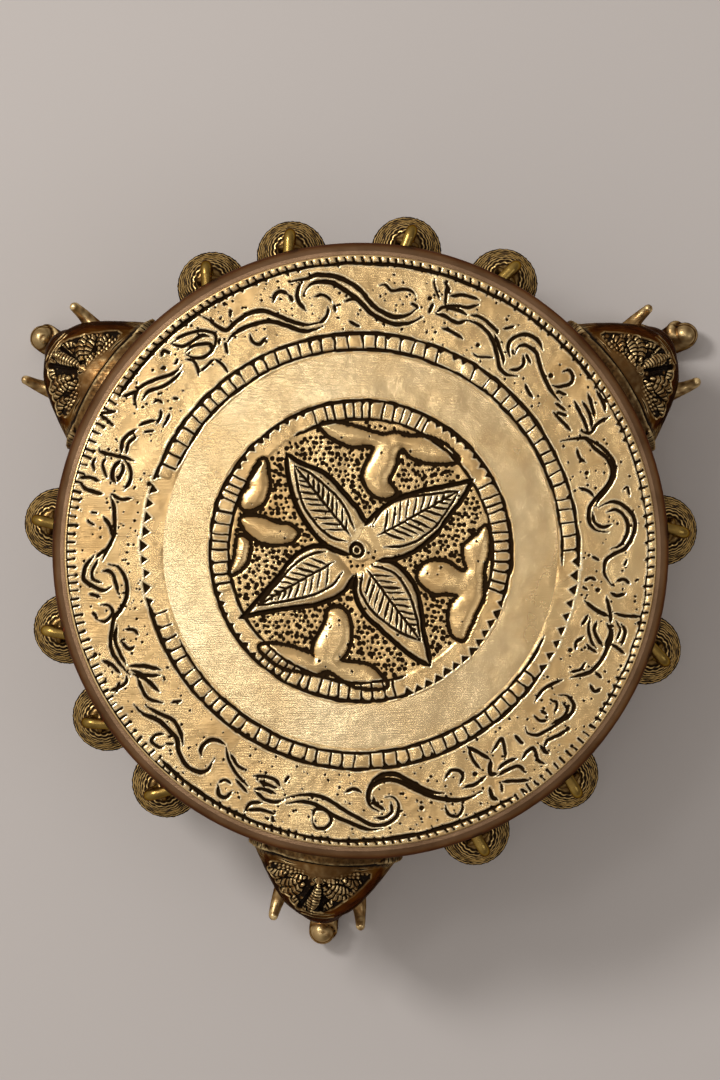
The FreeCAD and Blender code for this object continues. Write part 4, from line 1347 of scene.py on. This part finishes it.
for piece in (make_middle(), *make_border(), make_disc_body()):
    declare(piece, "root", "carved_brass", carved_brass, "top_plate")
declare(make_plain_band(), "root", "carved_brass", plain_brass_and_sheen, "top_plate")
for node, azimuth in HEADS.items():
    declare(make_head(node, azimuth), "root", "leg_brass", leg_brass, node)
for piece, node in make_bells():
    declare(piece, node, "bell_brass", bell_brass, node)
dress(frame["nodes"]["apron_ring"], rim_brass)
for node, piece in frame["nodes"].items():
    if node.startswith("bell_hook_"):
        dress(piece, hook_brass)
    elif node.startswith("clapper_"):
        dress(piece, bell_brass)


# Camera, floor and light

def add_camera():
    data = bpy.data.cameras.new("camera")
    data.lens = LENS_MM
    data.sensor_width = SENSOR_MM
    camera = bpy.data.objects.new("camera", data)
    x = (FRAME_PX[0] / 2 - TABLE_CENTRE_PX[0]) * PIXEL_MM
    y = (TABLE_CENTRE_PX[1] - FRAME_PX[1] / 2) * PIXEL_MM
    camera.location = Vector((x, y, CAMERA_ABOVE_TOP)) * MM
    bpy.context.scene.collection.objects.link(camera)
    bpy.context.scene.camera = camera


def add_floor():
    low = cad_box[0][2] / MM
    verts = [(x * FLOOR_HALF, y * FLOOR_HALF, low) for x, y in ((-1, -1), (1, -1), (1, 1), (-1, 1))]
    floor = mesh_object("floor", verts, [(0, 1, 2, 3)], smooth=False)
    material = bpy.data.materials.new("floor")
    material.use_nodes = True
    tree = material.node_tree
    feed(tree, tree.nodes["Principled BSDF"], {"Roughness": 0.85, "Base Color": (0.50, 0.475, 0.475, 1)})
    dress(floor, material)


def add_area(name, place, size, power, colour, aim=(0, 0, -20)):
    data = bpy.data.lights.new(name, "AREA")
    data.shape = "RECTANGLE"
    data.size, data.size_y = size[0] * MM, size[1] * MM
    data.energy = power
    data.color = colour
    lamp = bpy.data.objects.new(name, data)
    lamp.location = Vector(place) * MM
    away = (Vector(place) - Vector(aim)) * MM
    lamp.rotation_euler = away.to_track_quat("Z", "Y").to_euler()
    bpy.context.scene.collection.objects.link(lamp)


def add_light():
    """A soft room that is brighter to the left of the table, a window's glow above it and two small lamps."""
    world = bpy.data.worlds.new("world")
    bpy.context.scene.world = world
    world.use_nodes = True
    tree = world.node_tree
    place = add_node(tree, "ShaderNodeTexCoord", "Generated", {})
    inputs = {0: place, 1: BRIGHT_SIDE}
    towards = add_node(tree, "ShaderNodeVectorMath", "Value", inputs, operation="DOT_PRODUCT")
    sky = mix(tree, spread(tree, towards, {"From Min": -0.45, "From Max": 0.85}), DIM_SKY, BRIGHT_SKY)
    feed(tree, tree.nodes["Background"], {"Color": sky, "Strength": 0.9})
    for lamp in LAMPS:
        add_area(*lamp)


add_camera()
add_floor()
add_light()
bpy.context.scene.view_settings.view_transform = "Standard"
